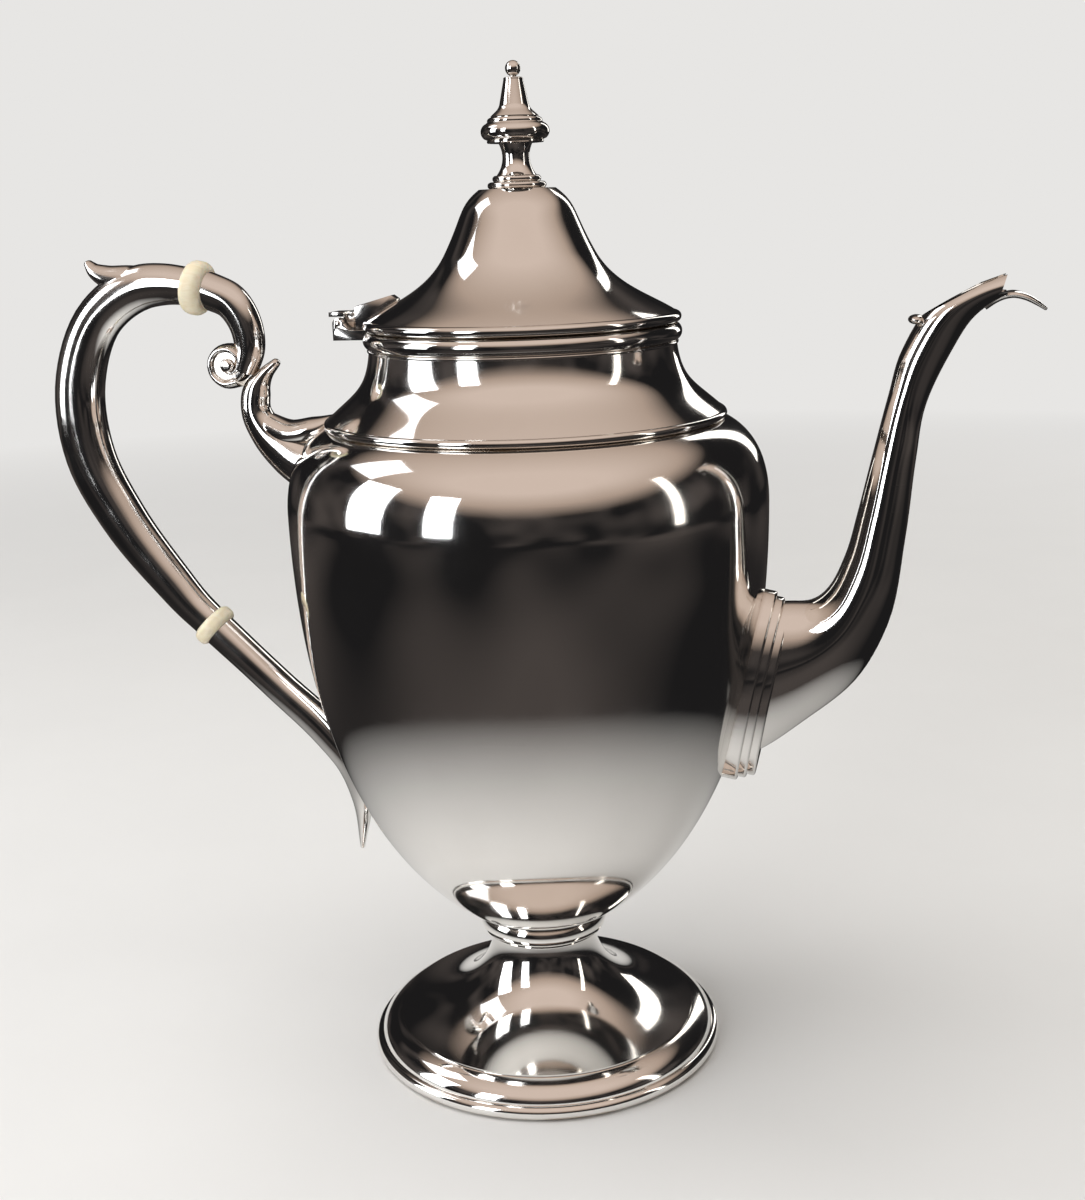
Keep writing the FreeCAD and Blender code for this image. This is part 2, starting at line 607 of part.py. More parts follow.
# Strap: knuckle, web over the rim, tapering leaf on the flare, and a stop tab beyond the hinge
strap_tip_x = hinge_axis.x + strap_length
strap_side = [
    at(hinge_axis.x, hinge_axis.z - barrel_radius + stop_gap), at(hinge_axis.x, hinge_axis.z + barrel_radius + stop_gap),
    at(hinge_axis.x + 2.2 * barrel_radius, hinge_axis.z + 2 * barrel_radius),
    at(hinge_axis.x + 3.3 * barrel_radius, dome_level + strap_root_rise),
    at(strap_tip_x - barrel_radius, dome_level + strap_tip_rise), at(strap_tip_x, dome_level + strap_tip_rise - 1.0),
    at(strap_tip_x, dome_level), at(-rim_bead_line, dome_level), at(-rim_bead_line, lid_level + stop_gap)]
strap_plan = [
    Vector(hinge_axis.x - barrel_radius, -lid_knuckle_half, 0), Vector(hinge_axis.x + 2.2 * barrel_radius, -lid_knuckle_half, 0),
    Vector(hinge_axis.x + 3 * barrel_radius, -strap_half_width, 0), Vector(strap_tip_x, -strap_tip_half_width, 0),
    Vector(strap_tip_x, strap_tip_half_width, 0), Vector(hinge_axis.x + 3 * barrel_radius, strap_half_width, 0),
    Vector(hinge_axis.x + 2.2 * barrel_radius, lid_knuckle_half, 0), Vector(hinge_axis.x - barrel_radius, lid_knuckle_half, 0)]
strap_leaf = Part.Face(Part.Wire(chain(*strap_plan, strap_plan[0]))).extrude(axis_up * finial_top)
strap = plate(strap_side, strap_half_width).common(strap_leaf)
stop_bottom = hinge_axis.z + barrel_radius + stop_gap
stop_tab = plate([
    at(hinge_axis.x - stop_length, stop_bottom), at(hinge_axis.x + barrel_radius, stop_bottom),
    at(hinge_axis.x + barrel_radius, stop_bottom + stop_thickness),
    at(hinge_axis.x - stop_length, stop_bottom + stop_thickness)], stop_half_width)
lid_knuckle = cross_rod(hinge_axis, lid_knuckle_half, barrel_radius)
strap = strap.fuse([stop_tab, lid_knuckle]).cut([dome_core, parts["lid_rim"]])
strap = strap.cut(cross_rod(hinge_axis, reach_past, hinge_pin_radius + running_gap))
parts["lid_strap"] = strap.removeSplitter()

# Finial on its collar, drawn down by a nut inside the lid
collar_step = collar_level + collar_height * 0.52
parts["finial_collar"] = turned(chain(
    at(collar_top_radius * 0.85, finial_level), at(stud_radius + fixed_gap, finial_level),
    at(stud_radius + fixed_gap, collar_level), at(collar_radius * 0.92, collar_level)) + [
        arc(at(collar_radius * 0.92, collar_level), at(collar_radius, (collar_level + collar_step) / 2),
            at(collar_radius * 0.88, collar_step)),
        line(at(collar_radius * 0.88, collar_step), at(collar_top_radius * 0.94, collar_step)),
        arc(at(collar_top_radius * 0.94, collar_step), at(collar_top_radius, (collar_step + finial_level) / 2),
            at(collar_top_radius * 0.85, finial_level))])
disc_level = finial_level + finial_stem_height
band_level = disc_level + finial_disc_height
band_top = band_level + finial_band_height
spire_level = band_top + spire_foot_height
ball_middle = finial_top - ball_radius
spire_top = ball_middle - ball_radius * 1.1
stud_bottom = collar_level - lid_wall - washer_height - nut_height - stud_proud
stem_waist = at(finial_stem_radius, finial_level + finial_stem_height * 0.58)
ring_top = disc_level + finial_ring_height
disc_low = at(finial_disc_radius * 0.9, ring_top + 0.3)
disc_edge = at(finial_disc_radius, (ring_top + band_level) / 2)
disc_high = at(finial_disc_radius * 0.85, band_level - 0.3)
finial_profile = [
    arc(at(collar_top_radius * 0.82, finial_level), stem_waist, at(finial_stem_radius * 1.26, disc_level))] + chain(
        at(finial_stem_radius * 1.26, disc_level), at(finial_ring_radius, disc_level), at(finial_ring_radius, ring_top), disc_low) + [
            arc(disc_low, disc_edge, disc_high)] + chain(
                disc_high, at(finial_band_radius, band_level), at(finial_band_radius * 0.94, band_top - 0.3),
                at(finial_band_radius * 0.87, band_top)) + [
                    bow(at(finial_band_radius * 0.87, band_top), 134, 0.45, at(spire_foot_radius, spire_level), 104, 0.4).toShape()]
finial_turning = turned(finial_profile + chain(
    at(spire_foot_radius, spire_level), at(spire_top_radius, spire_top - 0.4), at(spire_top_radius * 0.85, spire_top), at(0, spire_top),
    at(0, finial_level),
    at(collar_top_radius * 0.82, finial_level)))


def facet_ring(radius, height, count):
    corners = []
    for corner in range(count + 1):
        turn = 2 * math.pi * (corner + 0.5) / count
        corners.append(Vector(radius * math.cos(turn), radius * math.sin(turn), height))
    return Part.Wire(chain(*corners))


ball = Part.makeSphere(ball_radius, at(0, ball_middle))
ball_neck = rod(at(0, spire_top), axis_up, ball_middle - spire_top, ball_neck_radius)
stud = rod(at(0, stud_bottom), axis_up, finial_level - stud_bottom, stud_radius)
parts["finial"] = finial_turning.fuse([ball_neck, ball, stud]).removeSplitter()
washer_top = collar_level - lid_wall
washer_bottom = washer_top - washer_height
washer = rod(at(0, washer_bottom), axis_up, washer_height, washer_radius)
parts["finial_washer"] = washer.cut(stud_hole)
nut_corner = nut_across_flats / math.sqrt(3)
nut = Part.Face(facet_ring(nut_corner, washer_bottom - nut_height, 6)).extrude(axis_up * nut_height)
parts["finial_nut"] = nut.cut(stud_hole)

os.makedirs("parts", exist_ok=True)
for name, shape in parts.items():
    solids = shape.Solids
    kept = solids[0] if len(solids) == 1 else Part.makeCompound(solids)
    kept.exportStep("parts/" + name + ".step")
    print("%-22s solids %d valid %s volume %.1f" % (name, len(solids), kept.isValid(), kept.Volume))
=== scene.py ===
import math
import bmesh
import bpy
from mathutils import Matrix, Vector
from mathutils.geometry import interpolate_bezier


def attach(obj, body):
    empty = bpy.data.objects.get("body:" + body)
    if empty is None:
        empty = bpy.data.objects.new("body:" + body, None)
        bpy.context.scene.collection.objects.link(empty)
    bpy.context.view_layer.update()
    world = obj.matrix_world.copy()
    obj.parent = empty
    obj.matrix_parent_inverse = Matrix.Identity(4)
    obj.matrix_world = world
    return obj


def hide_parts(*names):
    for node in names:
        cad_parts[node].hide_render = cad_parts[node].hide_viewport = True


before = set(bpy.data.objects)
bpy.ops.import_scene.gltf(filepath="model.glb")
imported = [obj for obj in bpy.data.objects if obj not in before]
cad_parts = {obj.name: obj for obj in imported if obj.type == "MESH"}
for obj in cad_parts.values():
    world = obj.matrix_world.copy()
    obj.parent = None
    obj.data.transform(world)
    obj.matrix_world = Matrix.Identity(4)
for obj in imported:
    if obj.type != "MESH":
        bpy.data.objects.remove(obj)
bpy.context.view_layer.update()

scene = bpy.context.scene
scene.view_settings.view_transform = "Standard"
mm = 0.001                                 # shapes below are written in millimetres
closeness = dict(merge=5e-7, sliver=1e-7, axis=1e-9)       # in metres
across = Vector((0, 1, 0))                 # square to the pot's middle plane


# Camera at the photograph's viewing angle
viewpoint = dict(distance=410.045, height=230.413, azimuth=14.0, pitch=14.048, yaw=0.387, roll=2.011,
                 lens=46.83, sensor=36.0, nearest=0.01)


def addCamera(view):
    data = bpy.data.cameras.new("potCamera")
    data.lens = view["lens"]
    data.sensor_width = view["sensor"]
    data.clip_start = view["nearest"]
    camera = bpy.data.objects.new("potCamera", data)
    scene.collection.objects.link(camera)
    turn = math.radians(view["azimuth"])
    spot = Vector((math.sin(turn) * view["distance"], -math.cos(turn) * view["distance"], view["height"]))
    camera.matrix_world = (Matrix.Translation(spot * mm)
                           @ Matrix.Rotation(math.radians(view["azimuth"] - view["yaw"]), 4, "Z")
                           @ Matrix.Rotation(math.radians(90 - view["pitch"]), 4, "X")
                           @ Matrix.Rotation(math.radians(-view["roll"]), 4, "Z"))
    scene.camera = camera


addCamera(viewpoint)
print("camera set")


# Node trees are written as addNode(tree, kind, {socket: value or output}, setting=value)
def addNode(tree, kind, sockets=None, **settings):
    node = tree.nodes.new("ShaderNode" + kind)
    for name, value in settings.items():
        setattr(node, name, value)
    for name, value in (sockets or {}).items():
        if isinstance(value, bpy.types.NodeSocket):
            tree.links.new(value, node.inputs[name])
        else:
            node.inputs[name].default_value = value
    return node


def newFinish(name):
    finish = bpy.data.materials.new(name)
    finish.use_nodes = True
    tree = finish.node_tree
    return finish, tree, tree.nodes["Principled BSDF"]


def blendColours(tree, share, first, second):
    mix = addNode(tree, "Mix", data_type="RGBA")
    for socket, value in ((mix.inputs[0], share), (mix.inputs[6], first), (mix.inputs[7], second)):
        if isinstance(value, bpy.types.NodeSocket):
            tree.links.new(value, socket)
        else:
            socket.default_value = value
    return mix.outputs[2]


def remap(tree, value, fromLow, fromHigh, toLow=0.0, toHigh=1.0):
    sockets = {"Value": value, "From Min": fromLow, "From Max": fromHigh, "To Min": toLow, "To Max": toHigh}
    return addNode(tree, "MapRange", sockets).outputs["Result"]


def largest(tree, first, second):
    return addNode(tree, "Math", {0: first, 1: second}, operation="MAXIMUM").outputs[0]


# Silver: a mirror with wiping haze, hairline scratches, a faint hammered ripple and tarnish in the recesses
def silverFinish(name, look):
    finish, tree, shader = newFinish(name)
    place = addNode(tree, "TexCoord").outputs["Object"]
    haze = addNode(tree, "TexNoise", {"Vector": place, "Scale": look["hazeScale"], "Detail": 6.0,
                                      "Roughness": 0.65})
    dullness = remap(tree, haze.outputs["Fac"], *look["hazeRange"], look["smooth"], look["dull"])
    recess = addNode(tree, "AmbientOcclusion", {"Distance": look["recessDepth"]}, samples=4)
    closed = remap(tree, recess.outputs["AO"], *look["recessRange"], 0.0, look["tarnish"])
    blotch = addNode(tree, "TexNoise", {"Vector": place, "Scale": look["blotchScale"], "Detail": 4.0})
    patches = remap(tree, blotch.outputs["Fac"], *look["blotchRange"], look["cloud"], look["cloud"] + 1.0)
    stain = addNode(tree, "Math", {0: closed, 1: patches}, operation="MULTIPLY", use_clamp=True).outputs[0]
    film = remap(tree, blotch.outputs["Fac"], *look["filmRange"], 0.0, look["film"])
    spread = largest(tree, stain, film)
    tree.links.new(blendColours(tree, spread, look["colour"], look["stain"]), shader.inputs["Base Color"])
    rough = addNode(tree, "Math", {0: spread, 1: look["stainDull"], 2: dullness}, operation="MULTIPLY_ADD")
    tree.links.new(rough.outputs[0], shader.inputs["Roughness"])
    height = None
    for turn, stretch in look["strokes"]:
        lay = addNode(tree, "Mapping", {"Vector": place, "Rotation": turn, "Scale": stretch})
        hair = addNode(tree, "TexNoise", {"Vector": lay.outputs[0], "Scale": 1.0, "Detail": 3.0})
        fine = remap(tree, hair.outputs["Fac"], *look["strokeRange"])
        height = fine if height is None else addNode(tree, "Math", {0: height, 1: fine}).outputs[0]
    scratch = addNode(tree, "Bump", {"Height": height, "Strength": look["scratch"],
                                     "Distance": look["strokeDepth"]})
    wave = addNode(tree, "TexNoise", {"Vector": place, "Scale": look["rippleScale"], "Detail": 1.5})
    ripple = addNode(tree, "Bump", {"Height": wave.outputs["Fac"], "Strength": 1.0, "Distance": look["ripple"],
                                    "Normal": scratch.outputs[0]})
    tree.links.new(ripple.outputs[0], shader.inputs["Normal"])
    shader.inputs["Metallic"].default_value = 1.0
    return finish


polishedLook = dict(colour=(0.90, 0.885, 0.86, 1), stain=(0.36, 0.27, 0.18, 1), smooth=0.045, dull=0.12,
                    hazeScale=38.0, hazeRange=(0.38, 0.72), recessDepth=0.004, recessRange=(0.75, 0.25),
                    tarnish=0.8, blotchScale=55.0, blotchRange=(0.45, 0.75), cloud=0.35, film=0.05,
                    filmRange=(0.55, 0.8), stainDull=0.3, scratch=0.5, strokeRange=(0.6, 0.72), strokeDepth=2e-6,
                    strokes=(((0.0, 0.0, 0.0), (60, 60, 1400)), ((0.9, 0.54, 0.9), (1500, 70, 70)),
                             ((2.2, 1.32, 2.2), (70, 1300, 60))),      # how polishing strokes turn and stretch
                    rippleScale=26.0, ripple=0.00012)
silver = silverFinish("polishedSilver", polishedLook)
heldSilver = silverFinish("handledSilver", dict(polishedLook, smooth=0.06, dull=0.17, hazeScale=75.0, scratch=0.8,
                                                ripple=0.00009, rippleScale=45.0))
turnedSilver = silverFinish("turnedSilver", dict(polishedLook, tarnish=1.0, recessDepth=0.003, ripple=0.00004))
stainedSilver = silverFinish("stainedSilver", dict(polishedLook, colour=(0.74, 0.67, 0.57, 1),
                                                   stain=(0.2, 0.12, 0.06, 1), smooth=0.22, dull=0.4, film=0.75,
                                                   cloud=0.6, tarnish=1.0, recessDepth=0.02))


# Cream insulator: fine lengthwise grain, waxy depth, and painted shade where it meets the silver
def creamFinish(look):
    finish, tree, shader = newFinish("creamInsulator")
    place = addNode(tree, "TexCoord").outputs["Object"]
    lay = addNode(tree, "Mapping", {"Vector": place, "Rotation": (0.0, look["lean"], 0.0),
                                    "Scale": look["stretch"]})
    grain = addNode(tree, "TexNoise", {"Vector": lay.outputs[0], "Scale": 1.0, "Detail": 5.0, "Roughness": 0.6})
    tone = remap(tree, grain.outputs["Fac"], *look["grainRange"])
    colour = blendColours(tree, tone, look["pale"], look["warm"])
    # painted shade: ambient occlusion darkens the colour where the insulator meets the silver and in its recesses
    recess = addNode(tree, "AmbientOcclusion", {"Distance": look["recessDepth"]}, samples=4)
    paintedShade = remap(tree, recess.outputs["AO"], *look["recessRange"], 0.0, look["paintedShadeShare"])
    tree.links.new(blendColours(tree, paintedShade, colour, look["paintedShade"]), shader.inputs["Base Color"])
    tree.links.new(remap(tree, tone, 0.0, 1.0, look["smooth"], look["rough"]), shader.inputs["Roughness"])
    bump = addNode(tree, "Bump", {"Height": grain.outputs["Fac"], "Strength": 0.35, "Distance": 2e-5})
    tree.links.new(bump.outputs[0], shader.inputs["Normal"])
    shader.inputs["Subsurface Weight"].default_value = 0.25
    shader.inputs["Subsurface Radius"].default_value = (0.003, 0.002, 0.001)
    shader.inputs["Subsurface Scale"].default_value = 1.0
    return finish


# paintedShade is the colour of the painted shade where the insulator meets the silver
cream = creamFinish(dict(pale=(0.86, 0.79, 0.62, 1), warm=(0.76, 0.66, 0.46, 1), paintedShade=(0.26, 0.19, 0.11, 1),
                         paintedShadeShare=0.6, recessDepth=0.003, recessRange=(0.8, 0.2), smooth=0.24, rough=0.38,
                         lean=0.2, stretch=(120, 900, 900), grainRange=(0.35, 0.7)))


# Brass: turning rings and a dull film
def brassFinish(look):
    finish, tree, shader = newFinish("turnedBrass")
    place = addNode(tree, "TexCoord").outputs["Object"]
    lay = addNode(tree, "Mapping", {"Vector": place, "Scale": look["stretch"]})
    rings = addNode(tree, "TexNoise", {"Vector": lay.outputs[0], "Scale": 1.0, "Detail": 3.0})
    film = addNode(tree, "TexNoise", {"Vector": place, "Scale": look["filmScale"], "Detail": 5.0})
    share = remap(tree, film.outputs["Fac"], *look["filmRange"])
    tree.links.new(blendColours(tree, share, look["bright"], look["dull"]), shader.inputs["Base Color"])
    tree.links.new(remap(tree, share, 0.0, 1.0, look["smooth"], look["rough"]), shader.inputs["Roughness"])
    bump = addNode(tree, "Bump", {"Height": rings.outputs["Fac"], "Strength": 0.4, "Distance": 1e-5})
    tree.links.new(bump.outputs[0], shader.inputs["Normal"])
    shader.inputs["Metallic"].default_value = 1.0
    return finish


brass = brassFinish(dict(bright=(0.78, 0.60, 0.30, 1), dull=(0.50, 0.36, 0.17, 1), stretch=(150, 150, 5000),
                         filmScale=400.0, filmRange=(0.4, 0.7), smooth=0.22, rough=0.45))
print("finishes:", len(bpy.data.materials))


# Runs of points in the middle plane, as (radius, height)
def bow(start, leaving, startPull, end, arriving, endPull, count):     # pulls are shares of the chord
    start, end = Vector(start), Vector(end)
    chord = (end - start).length
    leave = Vector((math.cos(math.radians(leaving)), math.sin(math.radians(leaving))))
    arrive = Vector((math.cos(math.radians(arriving)), math.sin(math.radians(arriving))))
    return interpolate_bezier(start, start + leave * chord * startPull, end - arrive * chord * endPull, end, count)


def through(start, middle, end, count=12):  # arc from start to end by way of middle
    a, b, c = Vector(start), Vector(middle), Vector(end)
    ab, ac = b - a, c - a
    twice = 2 * (ab.x * ac.y - ab.y * ac.x)
    nearSquare, farSquare = ab.dot(ab), ac.dot(ac)
    hub = a + Vector((ac.y * nearSquare - ab.y * farSquare, ab.x * farSquare - ac.x * nearSquare)) / twice
    first, last = (math.atan2(p.y - hub.y, p.x - hub.x) for p in (a, c))
    if twice > 0 and last < first:
        last += 2 * math.pi
    if twice < 0 and last > first:
        last -= 2 * math.pi
    turns = [first + (last - first) * i / (count - 1) for i in range(count)]
    return [hub + Vector((math.cos(t), math.sin(t))) * (a - hub).length for t in turns]


def bulge(low, stand, high, count=12):      # bead that stands out from the line between two points
    low, high = Vector(low), Vector(high)
    along = (high - low).normalized()
    return through(low, (low + high) / 2 + Vector((along.y, -along.x)) * stand, high, count)


def beside(run, distance):                  # the same run, moved to its left by a wall's thickness
    moved = []
    for i, point in enumerate(run):
        along = (run[min(i + 1, len(run) - 1)] - run[max(i - 1, 0)]).normalized()
        moved.append(point + Vector((-along.y, along.x)) * distance)
    return moved


def closeUp(bm):
    bmesh.ops.remove_doubles(bm, verts=bm.verts, dist=closeness["merge"])
    bmesh.ops.dissolve_degenerate(bm, dist=closeness["sliver"], edges=bm.edges)
    bmesh.ops.recalc_face_normals(bm, faces=bm.faces)
    return bm


def spinRun(bm, corners, sides, steps):
    edges = [bm.edges.new(side) for side in sides]
    bmesh.ops.spin(bm, geom=corners + edges, cent=(0, 0, 0), axis=(0, 0, 1), angle=2 * math.pi, steps=steps,
                   use_merge=True)
    return closeUp(bm)


def turnedSolid(outline, steps=160):        # outline spun about the upright axis, without its side on the axis
    bm = bmesh.new()
    corners = [bm.verts.new((x * mm, 0, z * mm)) for x, z in outline]
    pairs = zip(corners, corners[1:] + corners[:1])
    return spinRun(bm, corners, [(a, b) for a, b in pairs if max(a.co.x, b.co.x) > closeness["axis"]], steps)


def bandSolid(run, inner, low, high, steps=160):           # turned moulding with a straight inner wall
    return turnedSolid(run + [Vector((inner, high)), Vector((inner, low))], steps)


# Stations along the spout and the handle, joined smoothly
def flow(rows, between):
    rows = [Vector(row) for row in rows]
    gaps = [(b - a).length for a, b in zip(rows, rows[1:])]
    rates = [(b - a) / gap for a, b, gap in zip(rows, rows[1:], gaps)]
    slopes = [rates[0]]
    for i in range(len(gaps) - 1):
        slopes.append((rates[i] * gaps[i + 1] + rates[i + 1] * gaps[i]) / (gaps[i] + gaps[i + 1]))
    slopes.append(rates[-1])
    run = []
    for i, gap in enumerate(gaps):
        for step in range(between):
            t = step / between
            run.append(rows[i] * ((1 + 2 * t) * (1 - t) ** 2) + slopes[i] * (gap * t * (1 - t) ** 2)
                       + rows[i + 1] * (t * t * (3 - 2 * t)) + slopes[i + 1] * (gap * t * t * (t - 1)))
    return run + [rows[-1]]


def ringMatrix(middle, rise, halfHeight, halfWidth):
    columns = (rise * halfHeight * mm, across * halfWidth * mm, rise.cross(across) * mm)
    lay = Matrix(columns).transposed().to_4x4()
    lay.translation = middle * mm
    return lay


def sweptSolid(rings, sides):               # an oval drawn out through rings of (middle, rise, halfHeight, halfWidth)
    bm = bmesh.new()
    loop = bmesh.ops.create_circle(bm, cap_ends=True, segments=sides, radius=1.0)["verts"]
    edges = bm.edges[:]
    lay = ringMatrix(*rings[0])
    bmesh.ops.transform(bm, matrix=lay, verts=loop)
    for ring in rings[1:]:
        drawn = bmesh.ops.extrude_edge_only(bm, edges=edges)["geom"]
        loop = [g for g in drawn if isinstance(g, bmesh.types.BMVert)]
        ends = set(loop)
        edges = [g for g in drawn if isinstance(g, bmesh.types.BMEdge) and ends.issuperset(g.verts)]
        following = ringMatrix(*ring)
        bmesh.ops.transform(bm, matrix=following @ lay.inverted(), verts=loop)
        lay = following
    bmesh.ops.edgeloop_fill(bm, edges=edges)
    return closeUp(bm)


def slope(degrees):
    return Vector((math.cos(math.radians(degrees)), 0, math.sin(math.radians(degrees))))


def domeRings(ring, way, depth=0.8, turns=(25, 50, 70, 84)):           # rounds off a bar's free end
    middle, rise, halfHeight, halfWidth = ring
    along = across.cross(rise) * way
    made = []
    for turn in turns:
        small, far = math.cos(math.radians(turn)), math.sin(math.radians(turn))
        made.append((middle + along * (halfHeight * depth * far), rise, halfHeight * small, halfWidth * small))
    return made


def barRings(rows, between=6, startAxis=None, endAxis=None, roundStart=False, roundEnd=False):
    run = flow(rows, between)               # rows of x, z, half height and half width
    rings = []
    for i, row in enumerate(run):
        before, after = run[max(i - 1, 0)], run[min(i + 1, len(run) - 1)]
        along = Vector((after[0] - before[0], 0, after[1] - before[1])).normalized()
        if i == 0 and startAxis:
            along = startAxis
        if i == len(run) - 1 and endAxis:
            along = endAxis
        rings.append((Vector((row[0], 0, row[1])), along.cross(across), row[2], row[3]))
    if roundStart:
        rings = domeRings(rings[0], -1)[::-1] + rings
    if roundEnd:
        rings = rings + domeRings(rings[-1], 1)
    return rings


def thicken(bm, way):                       # draws all faces out into a solid
    drawn = bmesh.ops.extrude_face_region(bm, geom=bm.faces[:])["geom"]
    bmesh.ops.translate(bm, vec=way, verts=[g for g in drawn if isinstance(g, bmesh.types.BMVert)])
    return closeUp(bm)


def sidePlate(corners, halfWidth):          # outline in the middle plane, drawn out to both sides
    bm = bmesh.new()
    bm.faces.new([bm.verts.new((x * mm, -halfWidth * mm, z * mm)) for x, z in corners])
    return thicken(bm, across * (2 * halfWidth * mm))


# Meshes become objects here, and solids are joined or cut with the Boolean modifier
def newObject(name, bm):
    mesh = bpy.data.meshes.new(name)
    bm.to_mesh(mesh)
    bm.free()
    piece = bpy.data.objects.new(name, mesh)
    scene.collection.objects.link(piece)
    return piece


def shapeBy(piece, operation, tool, keepTool=False):
    change = piece.modifiers.new("shape", "BOOLEAN")
    change.operation = operation
    change.object = tool
    change.solver = "EXACT"
    bpy.context.view_layer.update()
    shaped = bpy.data.meshes.new_from_object(piece.evaluated_get(bpy.context.evaluated_depsgraph_get()))
    piece.modifiers.clear()
    before = piece.data
    piece.data = shaped
    bpy.data.meshes.remove(before)
    if not keepTool:
        bpy.data.objects.remove(tool)


def keepPiece(piece, finish, body, nodes, sharp=35, inside=None):
    bm = bmesh.new()
    bm.from_mesh(piece.data)
    closeUp(bm)
    bmesh.ops.dissolve_verts(bm, verts=[vert for vert in bm.verts if len(vert.link_edges) == 2])
    for face in bm.faces:
        face.smooth = True
        face.material_index = 1 if inside and inside(face) else 0
    bm.to_mesh(piece.data)
    bm.free()
    piece.data.materials.clear()
    piece.data.materials.append(finish)
    if inside:
        piece.data.materials.append(stainedSilver)
    piece.data.set_sharp_from_angle(angle=math.radians(sharp))
    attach(piece, body)
    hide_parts(*nodes)


def facesIn(face, lean=0.1, level=0.7):     # inner wall of a hollow piece, or the middle of its bottom
    middle = face.calc_center_median()
    outward = Vector((middle.x, middle.y, 0)).normalized()
    onAxis = outward.length < 0.5           # no direction to normalise there
    return face.normal.dot(outward) < -lean or (face.normal.z > level and onAxis)


def facesDown(face, lean=0.15):
    return face.normal.z < -lean


def softCopy(name, node, width, merge=2e-6, flat=2, corner=32):        # merged copy of a small solid, edges eased
    bm = bmesh.new()
    bm.from_mesh(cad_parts[node].data)
    bmesh.ops.remove_doubles(bm, verts=bm.verts, dist=merge)
    bmesh.ops.dissolve_limit(bm, angle_limit=math.radians(flat), verts=bm.verts, edges=bm.edges)
    shared = [edge for edge in bm.edges if len(edge.link_faces) == 2]
    corners = [edge for edge in shared if edge.calc_face_angle() > math.radians(corner)]
    bmesh.ops.bevel(bm, geom=corners, affect="EDGES", offset=width * mm, offset_type="OFFSET", segments=2,
                    profile=0.5, material=-1, clamp_overlap=True)
    return newObject(name, closeUp(bm))


# Vessel: an egg on its narrow end, with a strainer behind the spout
vesselShape = dict(bottom=(17.0, 38.0), belly=(63.5, 155.0), shoulder=(51.7, 176.9), wall=1.2,
                   flank=(31.7, 0.218), flankEnd=(90.0, 0.556), crest=(90.0, 0.43), crestEnd=(158.0, 0.35),
                   flankPoints=60, crestPoints=28, sink=0.4, coreRise=6.0,
                   holeRadius=1.5, holePitch=5.0, holeRise=4.5, holeRows=7, holeHeight=106.0, holeStart=45.0,
                   holeLength=25.0)


def vesselRun(shape):
    flank = bow(shape["bottom"], *shape["flank"], shape["belly"], *shape["flankEnd"], shape["flankPoints"])
    crest = bow(shape["belly"], *shape["crest"], shape["shoulder"], *shape["crestEnd"], shape["crestPoints"])
    return flank + crest[1:]


def strainerHoles(shape):
    bm = bmesh.new()
    for row in range(shape["holeRows"]):
        height = shape["holeHeight"] + (row - (shape["holeRows"] - 1) / 2) * shape["holeRise"]
        for column in ((-1, 0, 1) if row % 2 else (-0.5, 0.5)):
            spot = Vector((shape["holeStart"] + shape["holeLength"] / 2, column * shape["holePitch"], height))
            lay = Matrix.Translation(spot * mm) @ Matrix.Rotation(math.pi / 2, 4, "Y")
            bmesh.ops.create_cone(bm, cap_ends=True, segments=20, radius1=shape["holeRadius"] * mm,
                                  radius2=shape["holeRadius"] * mm, depth=shape["holeLength"] * mm, matrix=lay)
    return closeUp(bm)


eggRun = vesselRun(vesselShape)
eggInner = beside(eggRun, vesselShape["wall"])
shoulderX, shoulderZ = vesselShape["shoulder"]
eggLip = Vector((shoulderX - vesselShape["wall"], shoulderZ))
eggBottom = [Vector((0, eggInner[0].y)), Vector((0, eggRun[0].y))]
vessel = newObject("vesselShell", turnedSolid(eggRun + [eggLip] + eggInner[::-1] + eggBottom))
shapeBy(vessel, "DIFFERENCE", newObject("holes", strainerHoles(vesselShape)))
keepPiece(vessel, silver, "pot", ["vessel"], inside=facesIn)
eggSunk = beside(eggRun, vesselShape["sink"])      # what stands on the vessel is let into it by this much
coreTop = shoulderZ + vesselShape["coreRise"]
eggCore = newObject("eggCore", turnedSolid(eggSunk + [Vector((eggSunk[-1].x, coreTop)), Vector((0, coreTop)),
                                                      Vector((0, eggSunk[0].y))]))
print("vessel:", len(vessel.data.polygons), "faces")

# Neck, the bead over its seam, and the mouth moulding
neckShape = dict(foot=(51.7, 179.1), mouth=(40.0, 196.0), leave=(138.0, 0.46), arrive=(97.0, 0.47), wall=1.2,
                 inner=50.1, points=36)
seamShape = dict(low=176.9, high=179.1, line=51.7, stand=1.0, wall=1.2)
mouthShape = dict(low=196.0, reedTop=196.9, high=201.2, line=40.0, reedStand=0.4, beadStand=1.35, bore=38.8)
throat = bow(neckShape["foot"], *neckShape["leave"], neckShape["mouth"], *neckShape["arrive"], neckShape["points"])
throatInner = [p for p in beside(throat, neckShape["wall"]) if p.y > neckShape["foot"][1]]
neckFoot = Vector((neckShape["inner"], neckShape["foot"][1]))
neck = newObject("neckShell", turnedSolid(throat + throatInner[::-1] + [neckFoot]))
keepPiece(neck, silver, "pot", ["neck"], inside=facesIn)
seamLine, seamLow, seamHigh = (seamShape[key] for key in ("line", "low", "high"))
seam = bulge((seamLine, seamLow), seamShape["stand"], (seamLine, seamHigh))
seamBead = newObject("shoulderBead", bandSolid(seam, seamLine - seamShape["wall"], seamLow, seamHigh))
keepPiece(seamBead, turnedSilver, "pot", ["shoulder_bead"], inside=facesIn)
mouthLine, mouthLow, reedTop, mouthHigh = (mouthShape[key] for key in ("line", "low", "reedTop", "high"))
reed = bulge((mouthLine, mouthLow), mouthShape["reedStand"], (mouthLine, reedTop))
bead = bulge((mouthLine, reedTop), mouthShape["beadStand"], (mouthLine, mouthHigh))
mouth = newObject("mouthMoulding", bandSolid(reed + bead[1:], mouthShape["bore"], mouthLow, mouthHigh))
